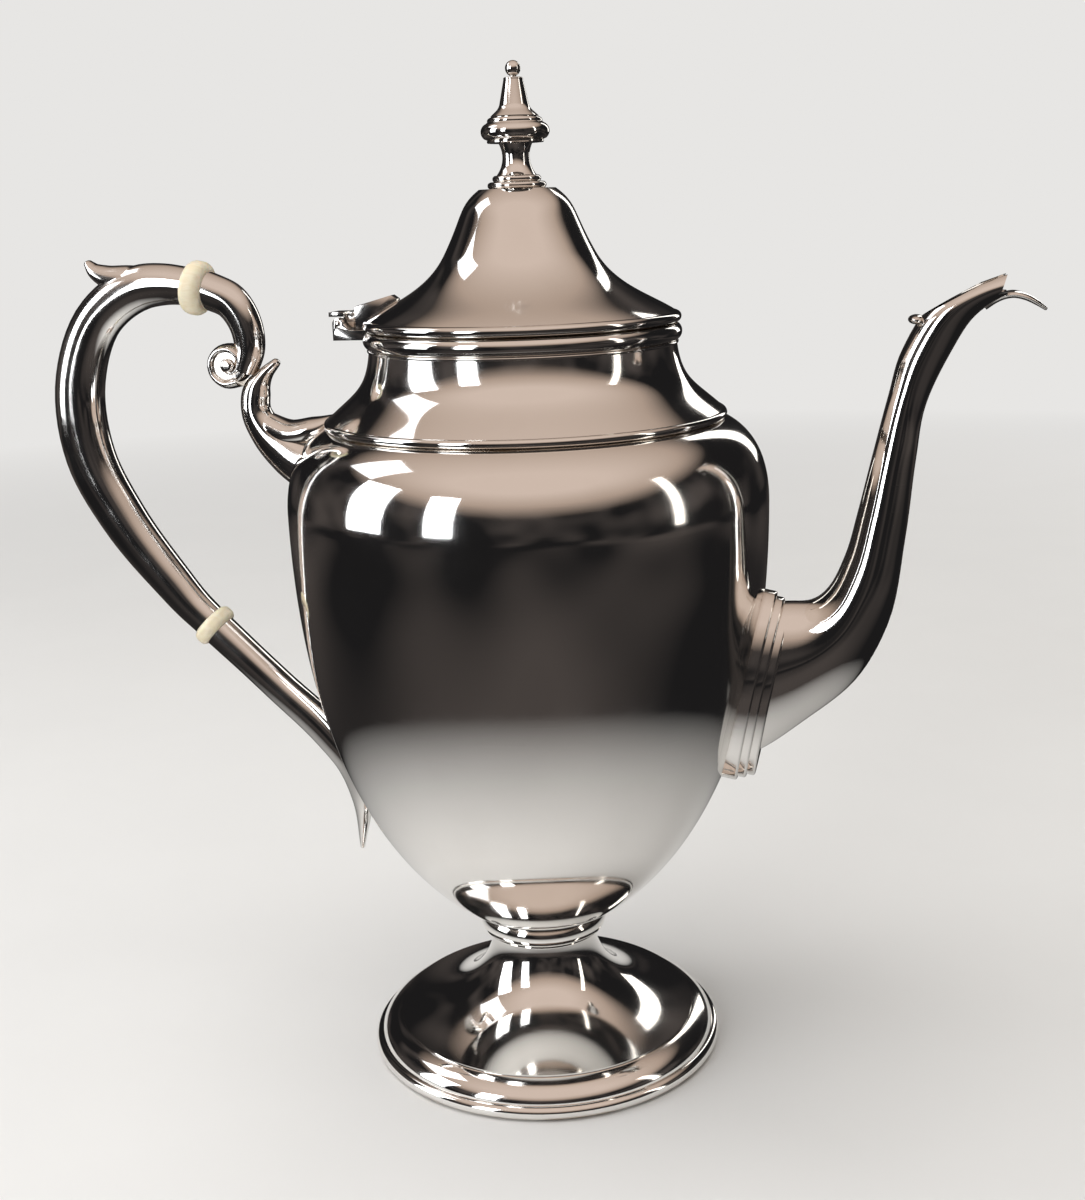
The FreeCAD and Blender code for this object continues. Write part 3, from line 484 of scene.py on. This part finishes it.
keepPiece(mouth, turnedSilver, "pot", ["mouth_moulding"], inside=facesIn)
print("neck and mouth done")

# Foot: stem ring, trumpet and the rim it stands on
stemShape = dict(low=(14.3, 32.0), swell=(17.6, 35.0), high=(17.0, 38.0), bore=11.0)
footShape = dict(crease=(41.7, 9.3), neck=(14.3, 32.0), leave=(171.0, 0.163), arrive=(96.0, 0.508), wall=1.2,
                 base=8.7, points=48)
rimShape = dict(bead=(47.45, 49.4), beadTop=3.9, crease=(41.7, 8.7), leave=(100.0, 0.3), arrive=(165.0, 0.4),
                land=45.65, inner=40.6, hollow=7.5)
stemRun = through(stemShape["low"], stemShape["swell"], stemShape["high"], count=16)
stem = newObject("stemRing", bandSolid(stemRun, stemShape["bore"], stemShape["low"][1], stemShape["high"][1]))
keepPiece(stem, turnedSilver, "pot", ["stem_ring"])
trumpet = bow(footShape["crease"], *footShape["leave"], footShape["neck"], *footShape["arrive"], footShape["points"])
trumpetUnder = [p for p in beside(trumpet, footShape["wall"]) if p.y > footShape["base"]]
trumpetUnder[-1].y = footShape["neck"][1]
footEdge = Vector((footShape["crease"][0], footShape["base"]))
foot = newObject("trumpetFoot", turnedSolid(trumpet + trumpetUnder[::-1] + [footEdge]))
keepPiece(foot, silver, "pot", ["foot"], inside=facesDown)
edgeLine, edgeRadius = rimShape["bead"]
edgeBead = through((edgeLine, 0), (edgeRadius, rimShape["beadTop"] / 2), (edgeLine, rimShape["beadTop"]), count=20)
ovolo = bow((edgeLine, rimShape["beadTop"]), *rimShape["leave"], rimShape["crease"], *rimShape["arrive"], count=18)
rim = newObject("footRim", turnedSolid(edgeBead + ovolo[1:] + [
    Vector((rimShape["inner"], rimShape["crease"][1])), Vector((rimShape["inner"], rimShape["hollow"])),
    Vector((rimShape["land"], rimShape["beadTop"])), Vector((rimShape["land"], 0))]))
keepPiece(rim, turnedSilver, "pot", ["foot_rim"], inside=facesDown)
print("foot done")

# Spout: rows are upper edge x and z, lower edge x and z, and half width, from the middle of its root
spoutShape = dict(root=(58.44, 106.0), wall=1.2, sides=56, between=6, beakSides=32, crest=(40.9, 95.2),
                  crestSize=(1.9, 3.7, 1.2), mouthEnd=1.5, clear=30.0, mouthRows=3, mouthLift=1.4,
                  mouth=[(40.6, 94.9), (42.4, 96.1), (49.1, 99.8), (56.3, 103.6), (61.9, 105.6), (60.6, 101.6)],
                  beak=[(57.0, 97.8, 0.8, 1.6), (59.5, 99.6, 0.9, 2.4), (61.5, 100.5, 0.95, 3.2),
                        (63.7, 100.8, 0.95, 3.6), (66.2, 100.2, 0.85, 3.3), (69.2, 98.6, 0.65, 2.2),
                        (71.2, 97.2, 0.45, 1.0)],
                  rows=[(-9.0, 22.4, -13.0, -21.0, 11.0), (9.6, 23.2, 2.6, -17.8, 10.6),
                        (16.2, 23.8, 14.6, -9.0, 9.8), (20.9, 27.8, 27.6, 2.5, 9.0),
                        (24.6, 35.8, 35.6, 17.5, 7.8), (27.6, 47.0, 39.6, 40.5, 6.2),
                        (31.1, 62.0, 41.8, 61.0, 5.3), (34.6, 76.5, 43.9, 74.5, 4.8),
                        (37.8, 88.0, 49.4, 87.0, 5.3), (44.6, 98.6, 55.1, 96.0, 5.9),
                        (53.8, 103.6, 61.2, 99.9, 5.7), (62.8, 106.8, 67.6, 101.0, 5.0)])


def spoutRings(shape, inset, lift=0.0):     # lift raises the upper edge along the mouth
    first = len(shape["rows"]) - shape["mouthRows"]
    rows = shape["rows"][:first] + [(row[0], row[1] + lift) + row[2:] for row in shape["rows"][first:]]
    rings = []
    for upperX, upperZ, lowerX, lowerZ, halfWidth in flow(rows, shape["between"]):
        upper, lower = Vector((upperX, 0, upperZ)), Vector((lowerX, 0, lowerZ))
        middle, rise = (upper + lower) / 2 + Vector((shape["root"][0], 0, shape["root"][1])), upper - lower
        rings.append((middle, rise.normalized(), rise.length / 2 - inset, halfWidth - inset))
    return rings


def fromRoot(point, shape=spoutShape):
    return (point[0] + shape["root"][0], point[1] + shape["root"][1])


def mouthCutter(shape):                     # all above the mouth's edge, and the tube beyond its front corner
    edge, clear = [fromRoot(point) for point in shape["mouth"]], shape["clear"]
    (backX, backZ), (frontX, frontZ), (notchX, notchZ) = edge[0], edge[-2], edge[-1]
    endX = notchX + shape["mouthEnd"]
    return sidePlate([(backX - clear, backZ)] + edge + [
        (endX, notchZ), (endX, notchZ - clear), (frontX + clear, notchZ - clear),
        (frontX + clear, frontZ + clear), (backX - clear, frontZ + clear)], clear)


def crestRoll(shape):                       # small roll across the back of the mouth
    bm = bmesh.new()
    bmesh.ops.create_uvsphere(bm, u_segments=32, v_segments=20, radius=mm)
    bmesh.ops.scale(bm, vec=shape["crestSize"], verts=bm.verts)
    x, z = fromRoot(shape["crest"])
    bmesh.ops.translate(bm, vec=Vector((x, 0, z)) * mm, verts=bm.verts)
    return bm


spout = newObject("spoutTube", sweptSolid(spoutRings(spoutShape, 0.0), spoutShape["sides"]))
shapeBy(spout, "DIFFERENCE", eggCore, keepTool=True)       # cut while solid, so that the bore then opens both ends
shapeBy(spout, "DIFFERENCE", newObject("mouthCut", mouthCutter(spoutShape)))
shapeBy(spout, "UNION", newObject("crest", crestRoll(spoutShape)))
spoutBore = spoutRings(spoutShape, spoutShape["wall"], spoutShape["mouthLift"])
shapeBy(spout, "DIFFERENCE", newObject("spoutInside", sweptSolid(spoutBore, spoutShape["sides"])))
beakRings = barRings([fromRoot(row) + row[2:] for row in spoutShape["beak"]], roundEnd=True)
shapeBy(spout, "UNION", newObject("beak", sweptSolid(beakRings, spoutShape["beakSides"])))
keepPiece(spout, silver, "pot", ["spout"])
print("spout:", len(spout.data.polygons), "faces")

# Collar: stepped oval bands round the spout's root, square to the vessel's wall
collarShape = dict(lean=78.4, halfHeight=26.6, halfWidth=13.2, bands=3, band=2.2, step=1.2, ease=0.7,
                   turns=range(0, 91, 15), depth=9.0, let=0.3, sides=80)


def collarRings(shape, root):
    rise = slope(shape["lean"])
    out = rise.cross(across) * -1
    middle = Vector((root[0], 0, root[1]))
    tall, wide = shape["halfHeight"], shape["halfWidth"]
    rings = [(middle - out * shape["depth"], rise, tall, wide)]
    for band in range(shape["bands"]):
        face = shape["band"] * (band + 1)
        if band:
            rings.append((middle + out * (face - shape["band"]), rise, tall, wide))
        for turn in shape["turns"]:
            down = shape["ease"] * (1 - math.sin(math.radians(turn)))
            near = shape["ease"] * (1 - math.cos(math.radians(turn)))
            rings.append((middle + out * (face - down), rise, tall - near, wide - near))
        tall -= shape["step"]
        wide -= shape["step"] / 2
    return rings


collar = newObject("spoutCollar", sweptSolid(collarRings(collarShape, spoutShape["root"]), collarShape["sides"]))
shapeBy(collar, "DIFFERENCE", eggCore, keepTool=True)
spoutCore = sweptSolid(spoutRings(spoutShape, collarShape["let"]), spoutShape["sides"])
shapeBy(collar, "DIFFERENCE", newObject("spoutCore", spoutCore))
keepPiece(collar, turnedSilver, "pot", ["spout_collar"])
print("collar done")

# Handle: a grip between two insulators, held by an upper and a lower socket
upperJoint, upperAxis = Vector((-90.2, 0, 212.9)), slope(168.0)
lowerJoint, lowerAxis = Vector((-93.7, 0, 118.3)), slope(-44.0)
ringShape = dict(upper=(7.3, 6.2), lower=(6.3, 4.6), ease=0.4, tenonRadius=3.0, tenonLength=6.5, steps=96)
endHalf = dict(upper=5.1, lower=4.9)         # half thickness of the bars where they meet the insulators


def mirrored(run):                          # a run followed by its mirror image
    return run + [Vector((p.x, -p.y)) for p in run[::-1]]


def quarterRound(radius, half, ease, count, share=0.2929):             # share: an arc's middle from its corner
    near = ease * share
    return through((radius - ease, -half), (radius - near, -half + near), (radius, -half + ease), count)


def insulatorRing(joint, axis, radius, length, shape):
    half, tenon = length / 2, shape["tenonRadius"]
    reach = half + shape["tenonLength"]
    run = [Vector((0, -reach)), Vector((tenon, -reach)), Vector((tenon, -half))]
    run += quarterRound(radius, half, length * shape["ease"], count=9)
    bm = turnedSolid(mirrored(run), shape["steps"])
    bmesh.ops.rotate(bm, cent=(0, 0, 0), matrix=axis.to_track_quat("Z", "Y").to_matrix(), verts=bm.verts)
    bmesh.ops.translate(bm, vec=joint * mm, verts=bm.verts)
    return bm


for level, joint, axis in (("upper", upperJoint, upperAxis), ("lower", lowerJoint, lowerAxis)):
    ring = newObject(level + "InsulatorRing", insulatorRing(joint, axis, *ringShape[level], ringShape))
    keepPiece(ring, cream, "pot", [level + "_insulator"])
print("insulators done")


def stations(origin, rows):                 # rows of x, z, half height and half width, measured from a joint
    return [(origin.x + x, origin.z + z, tall, wide) for x, z, tall, wide in rows]


def jointEnd(joint, axis, level, way):
    spot = joint + axis * (way * ringShape[level][1] / 2)
    return (spot.x, spot.z, endHalf[level], endHalf[level])


gripRows = dict(top=[(-9.5, 1.2, 5.6, 5.3), (-16.5, 0.6, 6.1, 5.6), (-29.3, -6.9, 6.4, 5.9), (-37.6, -24.0, 6.9, 6.2),
                     (-37.0, -46.0, 7.1, 6.3)],
                bottom=[(-25.2, 31.0, 6.7, 6.0), (-12.0, 13.0, 5.7, 5.4), (-6.4, 6.3, 5.2, 5.1)],
                spur=[(-12.0, 1.0, 5.0, 4.8), (-20.0, 2.2, 4.4, 4.4), (-26.5, 3.6, 3.2, 3.7), (-30.0, 5.4, 2.1, 2.8),
                      (-31.6, 7.2, 1.1, 1.9)], between=7, sides=48, spurBetween=6, spurSides=32)
gripStations = ([jointEnd(upperJoint, upperAxis, "upper", 1)] + stations(upperJoint, gripRows["top"])
                + stations(lowerJoint, gripRows["bottom"]) + [jointEnd(lowerJoint, lowerAxis, "lower", -1)])
gripRings = barRings(gripStations, gripRows["between"], upperAxis, lowerAxis)
grip = newObject("gripBar", sweptSolid(gripRings, gripRows["sides"]))
spurRings = barRings(stations(upperJoint, gripRows["spur"]), gripRows["spurBetween"], roundEnd=True)
shapeBy(grip, "UNION", newObject("spur", sweptSolid(spurRings, gripRows["spurSides"])))
keepPiece(grip, heldSilver, "pot", ["grip"])
print("grip:", len(grip.data.polygons), "faces")

scrollRows = dict(between=7, sides=44, voluteBetween=5, voluteSides=40,
                  curl=[(9.5, -3.8, 4.9, 4.8), (13.1, -9.6, 4.5, 4.5), (13.9, -16.4, 4.1, 4.2),
                        (12.0, -22.4, 3.4, 3.9)],
                  tie=[(21.2, -20.3, 1.2, 1.6), (18.0, -23.2, 2.0, 2.6), (15.0, -27.8, 3.8, 3.8),
                       (14.4, -33.4, 4.1, 4.1), (17.4, -39.3, 5.0, 4.5), (23.8, -45.2, 6.6, 5.4),
                       (33.2, -50.6, 8.0, 6.2)],
                  tongue=[(16.4, -36.6, 3.4, 3.8), (24.0, -39.3, 3.5, 5.2), (31.4, -38.2, 3.3, 5.0),
                          (37.4, -35.4, 1.2, 2.4)],
                  voluteMiddle=(8.3, -20.7), core=(5.2, 3.0, 1.2), eye=(1.9, 4.4, 1.0),
                  volute=[(-60, 5.0, 1.6, 4.3), (-105, 5.05, 1.55, 4.3), (-150, 5.0, 1.5, 4.2),
                          (-195, 4.9, 1.45, 4.2), (-240, 4.7, 1.4, 4.1), (-285, 4.3, 1.35, 4.0),
                          (-330, 3.7, 1.25, 3.9), (-375, 3.0, 1.15, 3.8), (-420, 2.3, 1.05, 3.7),
                          (-470, 1.7, 0.95, 3.6)])         # turn, radius, half height, half width
leafShape = dict(low=151.9, high=177.6, halfWidth=8.0, taper=0.75, thick=1.7, fall=0.8, rib=0.5, ribWidth=0.12,
                 let=4.0, columns=24, rows=40)


def roundBoss(middle, radius, halfWidth, ease, steps=64):
    run = [Vector((0, -halfWidth))] + quarterRound(radius, halfWidth, ease, count=8)
    bm = turnedSolid(mirrored(run), steps)
    bmesh.ops.rotate(bm, cent=(0, 0, 0), matrix=Matrix.Rotation(math.pi / 2, 3, "X"), verts=bm.verts)
    bmesh.ops.translate(bm, vec=Vector((middle.x, 0, middle.z)) * mm, verts=bm.verts)
    return bm


def rolledStations(middle, rows):
    rolled = []
    for degrees, radius, tall, wide in rows:
        turn = math.radians(degrees)
        rolled.append((middle.x + math.cos(turn) * radius, middle.z + math.sin(turn) * radius, tall, wide))
    return rolled


def scrollBar(key, **ends):
    rings = barRings(stations(upperJoint, scrollRows[key]), scrollRows["between"], **ends)
    return sweptSolid(rings, scrollRows["sides"])


def eggRadius(height):
    for low, high in zip(eggRun, eggRun[1:]):
        if low.y <= height <= high.y:
            return low.x + (high.x - low.x) * (height - low.y) / (high.y - low.y)
    return eggRun[-1].x


def leafSolid(shape):                       # ribbed leaf that lies on the vessel's wall under the scroll
    bm = bmesh.new()
    bmesh.ops.create_grid(bm, x_segments=shape["columns"], y_segments=shape["rows"], size=1.0)
    for vert in bm.verts:
        side, along = vert.co.x, vert.co.y
        height = (shape["low"] + shape["high"] + along * (shape["high"] - shape["low"])) / 2
        y = side * shape["halfWidth"] * max(1 - along * along, 0.0) ** shape["taper"]
        ends = 1 - along ** 4               # thins to nothing at both tips
        blade = shape["thick"] * (1 - shape["fall"] * side ** 2) * ends
        stand = blade + shape["rib"] * math.exp(-(side / shape["ribWidth"]) ** 2) * ends
        vert.co = Vector((-math.sqrt(eggRadius(height) ** 2 - y * y) - stand, y, height)) * mm
    return thicken(bm, (shape["let"] * mm, 0, 0))


curlStations = [jointEnd(upperJoint, upperAxis, "upper", -1)] + stations(upperJoint, scrollRows["curl"])
curlRings = barRings(curlStations, scrollRows["between"], upperAxis * -1)
socket = newObject("upperSocket", sweptSolid(curlRings, scrollRows["sides"]))
voluteSpot = upperJoint + Vector((scrollRows["voluteMiddle"][0], 0, scrollRows["voluteMiddle"][1]))
voluteRings = barRings(rolledStations(voluteSpot, scrollRows["volute"]), scrollRows["voluteBetween"])
for name, solid in (("tie", scrollBar("tie", roundStart=True)), ("tongue", scrollBar("tongue", roundEnd=True)),
                    ("volute", sweptSolid(voluteRings, scrollRows["voluteSides"])),
                    ("core", roundBoss(voluteSpot, *scrollRows["core"])),
                    ("eye", roundBoss(voluteSpot, *scrollRows["eye"])), ("leaf", leafSolid(leafShape))):
    shapeBy(socket, "UNION", newObject(name, solid))
shapeBy(socket, "DIFFERENCE", eggCore, keepTool=True)
keepPiece(socket, heldSilver, "pot", ["upper_socket"])
print("upper socket:", len(socket.data.polygons), "faces")

tailShape = dict(rows=[(-82.9, 108.1, 4.7, 4.7), (-75.6, 101.2, 4.7, 4.7), (-60.9, 87.1, 4.8, 4.7),
                       (-55.3, 79.5, 4.4, 4.6), (-52.4, 67.5, 2.7, 3.6), (-53.3, 53.0, 0.6, 1.0)],
                 between=7, sides=44)
tailStations = [jointEnd(lowerJoint, lowerAxis, "lower", 1)] + tailShape["rows"]
tailRings = barRings(tailStations, tailShape["between"], lowerAxis, roundEnd=True)
tail = newObject("lowerSocket", sweptSolid(tailRings, tailShape["sides"]))
shapeBy(tail, "DIFFERENCE", eggCore)
keepPiece(tail, heldSilver, "pot", ["lower_socket"])
print("lower socket:", len(tail.data.polygons), "faces")

# Lid: rim moulding, bezel and bell
lidShape = dict(rim=(39.9, 204.1), waist=(19.4, 219.8), crown=(9.8, 235.7), flare=(146.2, 0.292),
                flareEnd=(118.5, 0.395), bell=(118.5, 0.597), bellEnd=(143.7, 0.357), wall=1.0, hole=2.02, points=40)
lidRimShape = dict(low=201.5, high=204.1, line=39.9, edge=41.2, inner=38.2)
bezelShape = dict(low=197.5, high=204.1, outer=38.2, inner=37.2)
bellRun = bow(lidShape["rim"], *lidShape["flare"], lidShape["waist"], *lidShape["flareEnd"], lidShape["points"])
bellRun += bow(lidShape["waist"], *lidShape["bell"], lidShape["crown"], *lidShape["bellEnd"], lidShape["points"])[1:]
bellInner = beside(bellRun, lidShape["wall"])
bellInner[0].y = bellRun[0].y
crownHole = [Vector((lidShape["hole"], run[-1].y)) for run in (bellRun, bellInner)]
dome = newObject("lidBell", turnedSolid(bellRun + crownHole + bellInner[::-1]))
keepPiece(dome, silver, "lid", ["lid_dome"], inside=facesDown)
rimLine, rimLow, rimHigh = (lidRimShape[key] for key in ("line", "low", "high"))
lidBead = through((rimLine, rimLow), (lidRimShape["edge"], (rimLow + rimHigh) / 2), (rimLine, rimHigh), count=18)
lidRim = newObject("lidRim", bandSolid(lidBead, lidRimShape["inner"], rimLow, rimHigh))
keepPiece(lidRim, turnedSilver, "lid", ["lid_rim"])
bezelRun = [Vector((bezelShape["outer"], bezelShape[level])) for level in ("low", "high")]
bezel = newObject("lidBezel", bandSolid(bezelRun, bezelShape["inner"], bezelShape["low"], bezelShape["high"]))
keepPiece(bezel, stainedSilver, "lid", ["lid_bezel"])
print("lid done")

# Finial on its stepped collar
crownShape = dict(low=235.7, step=237.42, high=239.0, wide=(6.9, 7.5, 6.6), narrow=(5.828, 6.2, 5.27), bore=2.02,
                  steps=96)                 # radii at each step's foot, middle and top
finialShape = dict(stud=(2.0, 230.1), foot=(5.1, 239.0), waist=(3.45, 243.4), throat=(4.35, 246.9),
                   ring=(7.2, 246.9, 247.6), discLow=(7.83, 247.9), discEdge=(8.7, 249.7), discHigh=(7.4, 251.6),
                   bandLow=(6.95, 251.95), bandTop=(6.5, 252.95), bandStand=0.2, groove=(6.0, 253.15),
                   flare=(6.05, 253.35), flareLeave=(134, 0.45), spire=(3.7, 256.2), spireArrive=(104, 0.4),
                   spireTop=(2.45, 262.15), shoulder=(2.05, 262.6), neck=(0.8, 262.7), ball=264.75,
                   ballRadius=1.95, ease=0.15, steps=112)


def roundStep(radii, low, high):
    foot, middle, top = radii
    return through((foot, low), (middle, (low + high) / 2), (top, high), count=10)


crownLow, crownStep, crownHigh = (crownShape[key] for key in ("low", "step", "high"))
crownRun = (roundStep(crownShape["wide"], crownLow, crownStep)
            + roundStep(crownShape["narrow"], crownStep, crownHigh))
crownSolid = bandSolid(crownRun, crownShape["bore"], crownLow, crownHigh, crownShape["steps"])
crown = newObject("finialCollar", crownSolid)
keepPiece(crown, turnedSilver, "lid", ["finial_collar"])


def finialRun(shape):
    ease, (ring, ringLow, ringTop) = shape["ease"], shape["ring"]
    (studRadius, studEnd), ball, ballRadius = shape["stud"], shape["ball"], shape["ballRadius"]
    (spireX, spireZ), (shoulderX, shoulderZ), (neckX, neckZ) = shape["spireTop"], shape["shoulder"], shape["neck"]
    run = [Vector((0, studEnd)), Vector((studRadius, studEnd)), Vector((studRadius, shape["foot"][1]))]
    run += through(shape["foot"], shape["waist"], shape["throat"], count=18)
    run += [Vector((ring - ease, ringLow)), Vector((ring, ringLow + ease)), Vector((ring, ringTop - ease)),
            Vector((ring - ease, ringTop))]
    run += through(shape["discLow"], shape["discEdge"], shape["discHigh"], count=20)
    run += bulge(shape["bandLow"], shape["bandStand"], shape["bandTop"], count=10) + [Vector(shape["groove"])]
    run += bow(shape["flare"], *shape["flareLeave"], shape["spire"], *shape["spireArrive"], count=16)
    corner = ((spireX + shoulderX) / 2 + ease, (spireZ + shoulderZ) / 2 + ease)
    run += through((spireX, spireZ), corner, (shoulderX, shoulderZ), count=8)
    run += [Vector((neckX, neckZ))]
    ballFoot = ball - math.sqrt(ballRadius ** 2 - neckX ** 2)
    return run + through((neckX, ballFoot), (ballRadius, ball), (0, ball + ballRadius), count=24)


finial = newObject("finialKnop", turnedSolid(finialRun(finialShape), finialShape["steps"]))
keepPiece(finial, turnedSilver, "lid", ["finial"], sharp=30)
print("finial:", len(finial.data.polygons), "faces")

# Hinge and the finial's fastening: small solids with eased edges
keepPiece(softCopy("hingeBracket", "hinge_bracket", 0.3), heldSilver, "pot", ["hinge_bracket"])
keepPiece(softCopy("hingePin", "hinge_pin", 0.15), turnedSilver, "pot", ["hinge_pin"])
keepPiece(softCopy("lidStrap", "lid_strap", 0.3), heldSilver, "lid", ["lid_strap"])
keepPiece(softCopy("finialWasher", "finial_washer", 0.15), brass, "lid", ["finial_washer"])
keepPiece(softCopy("finialNut", "finial_nut", 0.25), brass, "lid", ["finial_nut"])
for node in ("upper_insulator_pins", "lower_insulator_pins"):      # ends of the cross pins
    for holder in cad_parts[node].material_slots:
        holder.material = turnedSilver
print("hinge and fastening done")


# Stage: a pale floor without an end, soft boxes, and a dim tent that only the silver sees
stageShape = dict(radius=4.0, drop=0.05, colour=(0.80, 0.79, 0.775, 1), rough=0.6, mottleScale=14.0,
                  mottleRange=(0.3, 0.7), mottle=0.98, fadeFrom=0.45, fadeTo=1.4, fill=0.5)
softBoxes = dict(                           # spot, height aimed at, size, power, colour
    leftPanel=((-0.96, -0.43, 0.44), 0.16, (0.40, 0.76), 3.8, (0.95, 0.97, 1.0)),
    frontPanel=((-0.50, -0.98, 0.44), 0.16, (0.27, 0.72), 3.0, (0.95, 0.97, 1.0)),
    skyPanel=((-0.84, 0.02, 1.02), 0.16, (0.46, 0.42), 0.9, (0.93, 0.96, 1.0)),
    rightStrip=((1.02, -0.10, 0.44), 0.16, (0.10, 0.78), 0.6, (1.0, 0.95, 0.88)),
    backStrip=((0.35, 1.05, 0.56), 0.14, (0.18, 0.80), 1.0, (1.0, 0.97, 0.92)))
overhead = ((-0.2, -0.1, 1.5), 0.0, (1.4, 1.4), 14.0, (1.0, 0.985, 0.96))
tentShape = dict(inner=0.065, soft=0.21, radius=1.4, skirt=0.003, turnUp=0.1, wall=0.75, top=1.55,
                 archLeave=(90, 0.5), archArrive=(180, 0.6), steps=96, front=(0.242, -0.970, 0.0),
                 frontDrop=0.3, lifted=0.05,
                 dark=(0.012, 0.0115, 0.012, 1), brown=(0.066, 0.056, 0.052, 1), ceiling=(0.68, 0.55, 0.475, 1),
                 eaves=(0.46, 0.355, 0.29, 1), patchScale=1.6, patchRange=(0.45, 0.7), ceilingFrom=0.92,
                 ceilingTo=1.28, ceilingTop=1.7)


def seenPlainly(tree):                      # 1 for camera, mirror and glass rays, 0 for what lights other things
    path = addNode(tree, "LightPath").outputs
    return largest(tree, largest(tree, path["Is Camera Ray"], path["Is Glossy Ray"]), path["Is Transmission Ray"])


def fromMiddle(tree, place):                # distance from the pot's axis
    flat = addNode(tree, "VectorMath", {0: place, 1: (1, 1, 0)}, operation="MULTIPLY")
    return addNode(tree, "VectorMath", {0: flat.outputs[0]}, operation="LENGTH").outputs["Value"]


def paleFinish(shape):
    finish, tree, shader = newFinish("paleFloor")
    place = addNode(tree, "TexCoord").outputs["Object"]
    mottle = addNode(tree, "TexNoise", {"Vector": place, "Scale": shape["mottleScale"], "Detail": 4.0})
    share = remap(tree, mottle.outputs["Fac"], *shape["mottleRange"])
    dim = tuple(c * shape["mottle"] for c in shape["colour"][:3]) + (1,)
    tree.links.new(blendColours(tree, share, shape["colour"], dim), shader.inputs["Base Color"])
    shader.inputs["Roughness"].default_value = shape["rough"]
    far = remap(tree, fromMiddle(tree, place), shape["fadeFrom"], shape["fadeTo"])
    share = addNode(tree, "Math", {0: far, 1: seenPlainly(tree)}, operation="MULTIPLY").outputs[0]
    glow = addNode(tree, "Emission", {"Color": shape["colour"], "Strength": 1.0})
    both = addNode(tree, "MixShader", {0: share, 1: shader.outputs[0], 2: glow.outputs[0]})
    tree.links.new(both.outputs[0], tree.nodes["Material Output"].inputs["Surface"])
    return finish


def addFloor(shape):
    bm = bmesh.new()
    bmesh.ops.create_circle(bm, cap_ends=True, segments=128, radius=shape["radius"],
                            matrix=Matrix.Translation((0, 0, -shape["drop"] * mm)))
    floor = newObject("paleFloor", bm)
    floor.data.materials.append(paleFinish(shape))


def tentFinish(shape):
    finish, tree, shader = newFinish("studioTent")
    place = addNode(tree, "TexCoord").outputs["Object"]
    patch = addNode(tree, "TexNoise", {"Vector": place, "Scale": shape["patchScale"], "Detail": 1.0})
    lit = remap(tree, patch.outputs["Fac"], *shape["patchRange"])
    wall = blendColours(tree, lit, shape["dark"], shape["brown"])
    height = addNode(tree, "SeparateXYZ", {0: place}).outputs["Z"]
    toFront = addNode(tree, "VectorMath", {0: place, 1: shape["front"]}, operation="DOT_PRODUCT").outputs["Value"]
    tilted = addNode(tree, "Math", {0: toFront, 1: shape["frontDrop"], 2: height}, operation="MULTIPLY_ADD")
    up = remap(tree, tilted.outputs[0], shape["ceilingFrom"], shape["ceilingTo"])
    over = remap(tree, tilted.outputs[0], shape["ceilingTo"], shape["ceilingTop"])
    roof = blendColours(tree, over, shape["eaves"], shape["ceiling"])
    glow = addNode(tree, "Emission", {"Color": blendColours(tree, up, wall, roof), "Strength": 1.0})
    solid = remap(tree, fromMiddle(tree, place), shape["inner"], shape["soft"])
    lifted = addNode(tree, "Math", {0: height, 1: shape["lifted"]}, operation="GREATER_THAN").outputs[0]
    clear = addNode(tree, "BsdfTransparent")
    both = addNode(tree, "MixShader", {0: largest(tree, solid, lifted), 1: clear.outputs[0], 2: glow.outputs[0]})
    tree.links.new(both.outputs[0], tree.nodes["Material Output"].inputs["Surface"])
    tree.nodes.remove(shader)
    return finish


def addTent(shape):
    bm = bmesh.new()
    radius, skirt, turnUp = shape["radius"], shape["skirt"], shape["turnUp"]
    run = [(shape["inner"], skirt), (radius, skirt), (radius + turnUp, turnUp), (radius + turnUp, shape["wall"])]
    arch = bow(run[-1], *shape["archLeave"], (0.0, shape["top"]), *shape["archArrive"], count=14)
    corners = [bm.verts.new((x, 0, z)) for x, z in run + arch[1:]]
    tent = newObject("studioTent", spinRun(bm, corners, zip(corners, corners[1:]), shape["steps"]))
    tent.data.materials.append(tentFinish(shape))
    tent.visible_camera = tent.visible_diffuse = tent.visible_shadow = tent.visible_transmission = False


def addSoftBox(name, spot, aimHeight, size, power, colour):
    data = bpy.data.lights.new(name, "AREA")
    data.shape = "RECTANGLE"
    data.size, data.size_y = size
    data.energy = power
    data.color = colour
    lamp = bpy.data.objects.new(name, data)
    scene.collection.objects.link(lamp)
    turn = (Vector((0, 0, aimHeight)) - Vector(spot)).to_track_quat("-Z", "Y")
    lamp.matrix_world = Matrix.Translation(spot) @ turn.to_matrix().to_4x4()
    lamp.visible_camera = False
    return lamp


def lightRoom(colour, level):               # level: how much the surround lights matt things
    scene.world = bpy.data.worlds.new("studio")
    scene.world.use_nodes = True
    tree = scene.world.node_tree
    tree.nodes["Background"].inputs["Color"].default_value = colour
    tree.links.new(remap(tree, seenPlainly(tree), 0.0, 1.0, level, 1.0), tree.nodes["Background"].inputs["Strength"])


addFloor(stageShape)
addTent(tentShape)
for name, box in softBoxes.items():
    addSoftBox(name, *box)
addSoftBox("overheadBox", *overhead).visible_glossy = False
lightRoom(stageShape["colour"], stageShape["fill"])
print("stage lit")
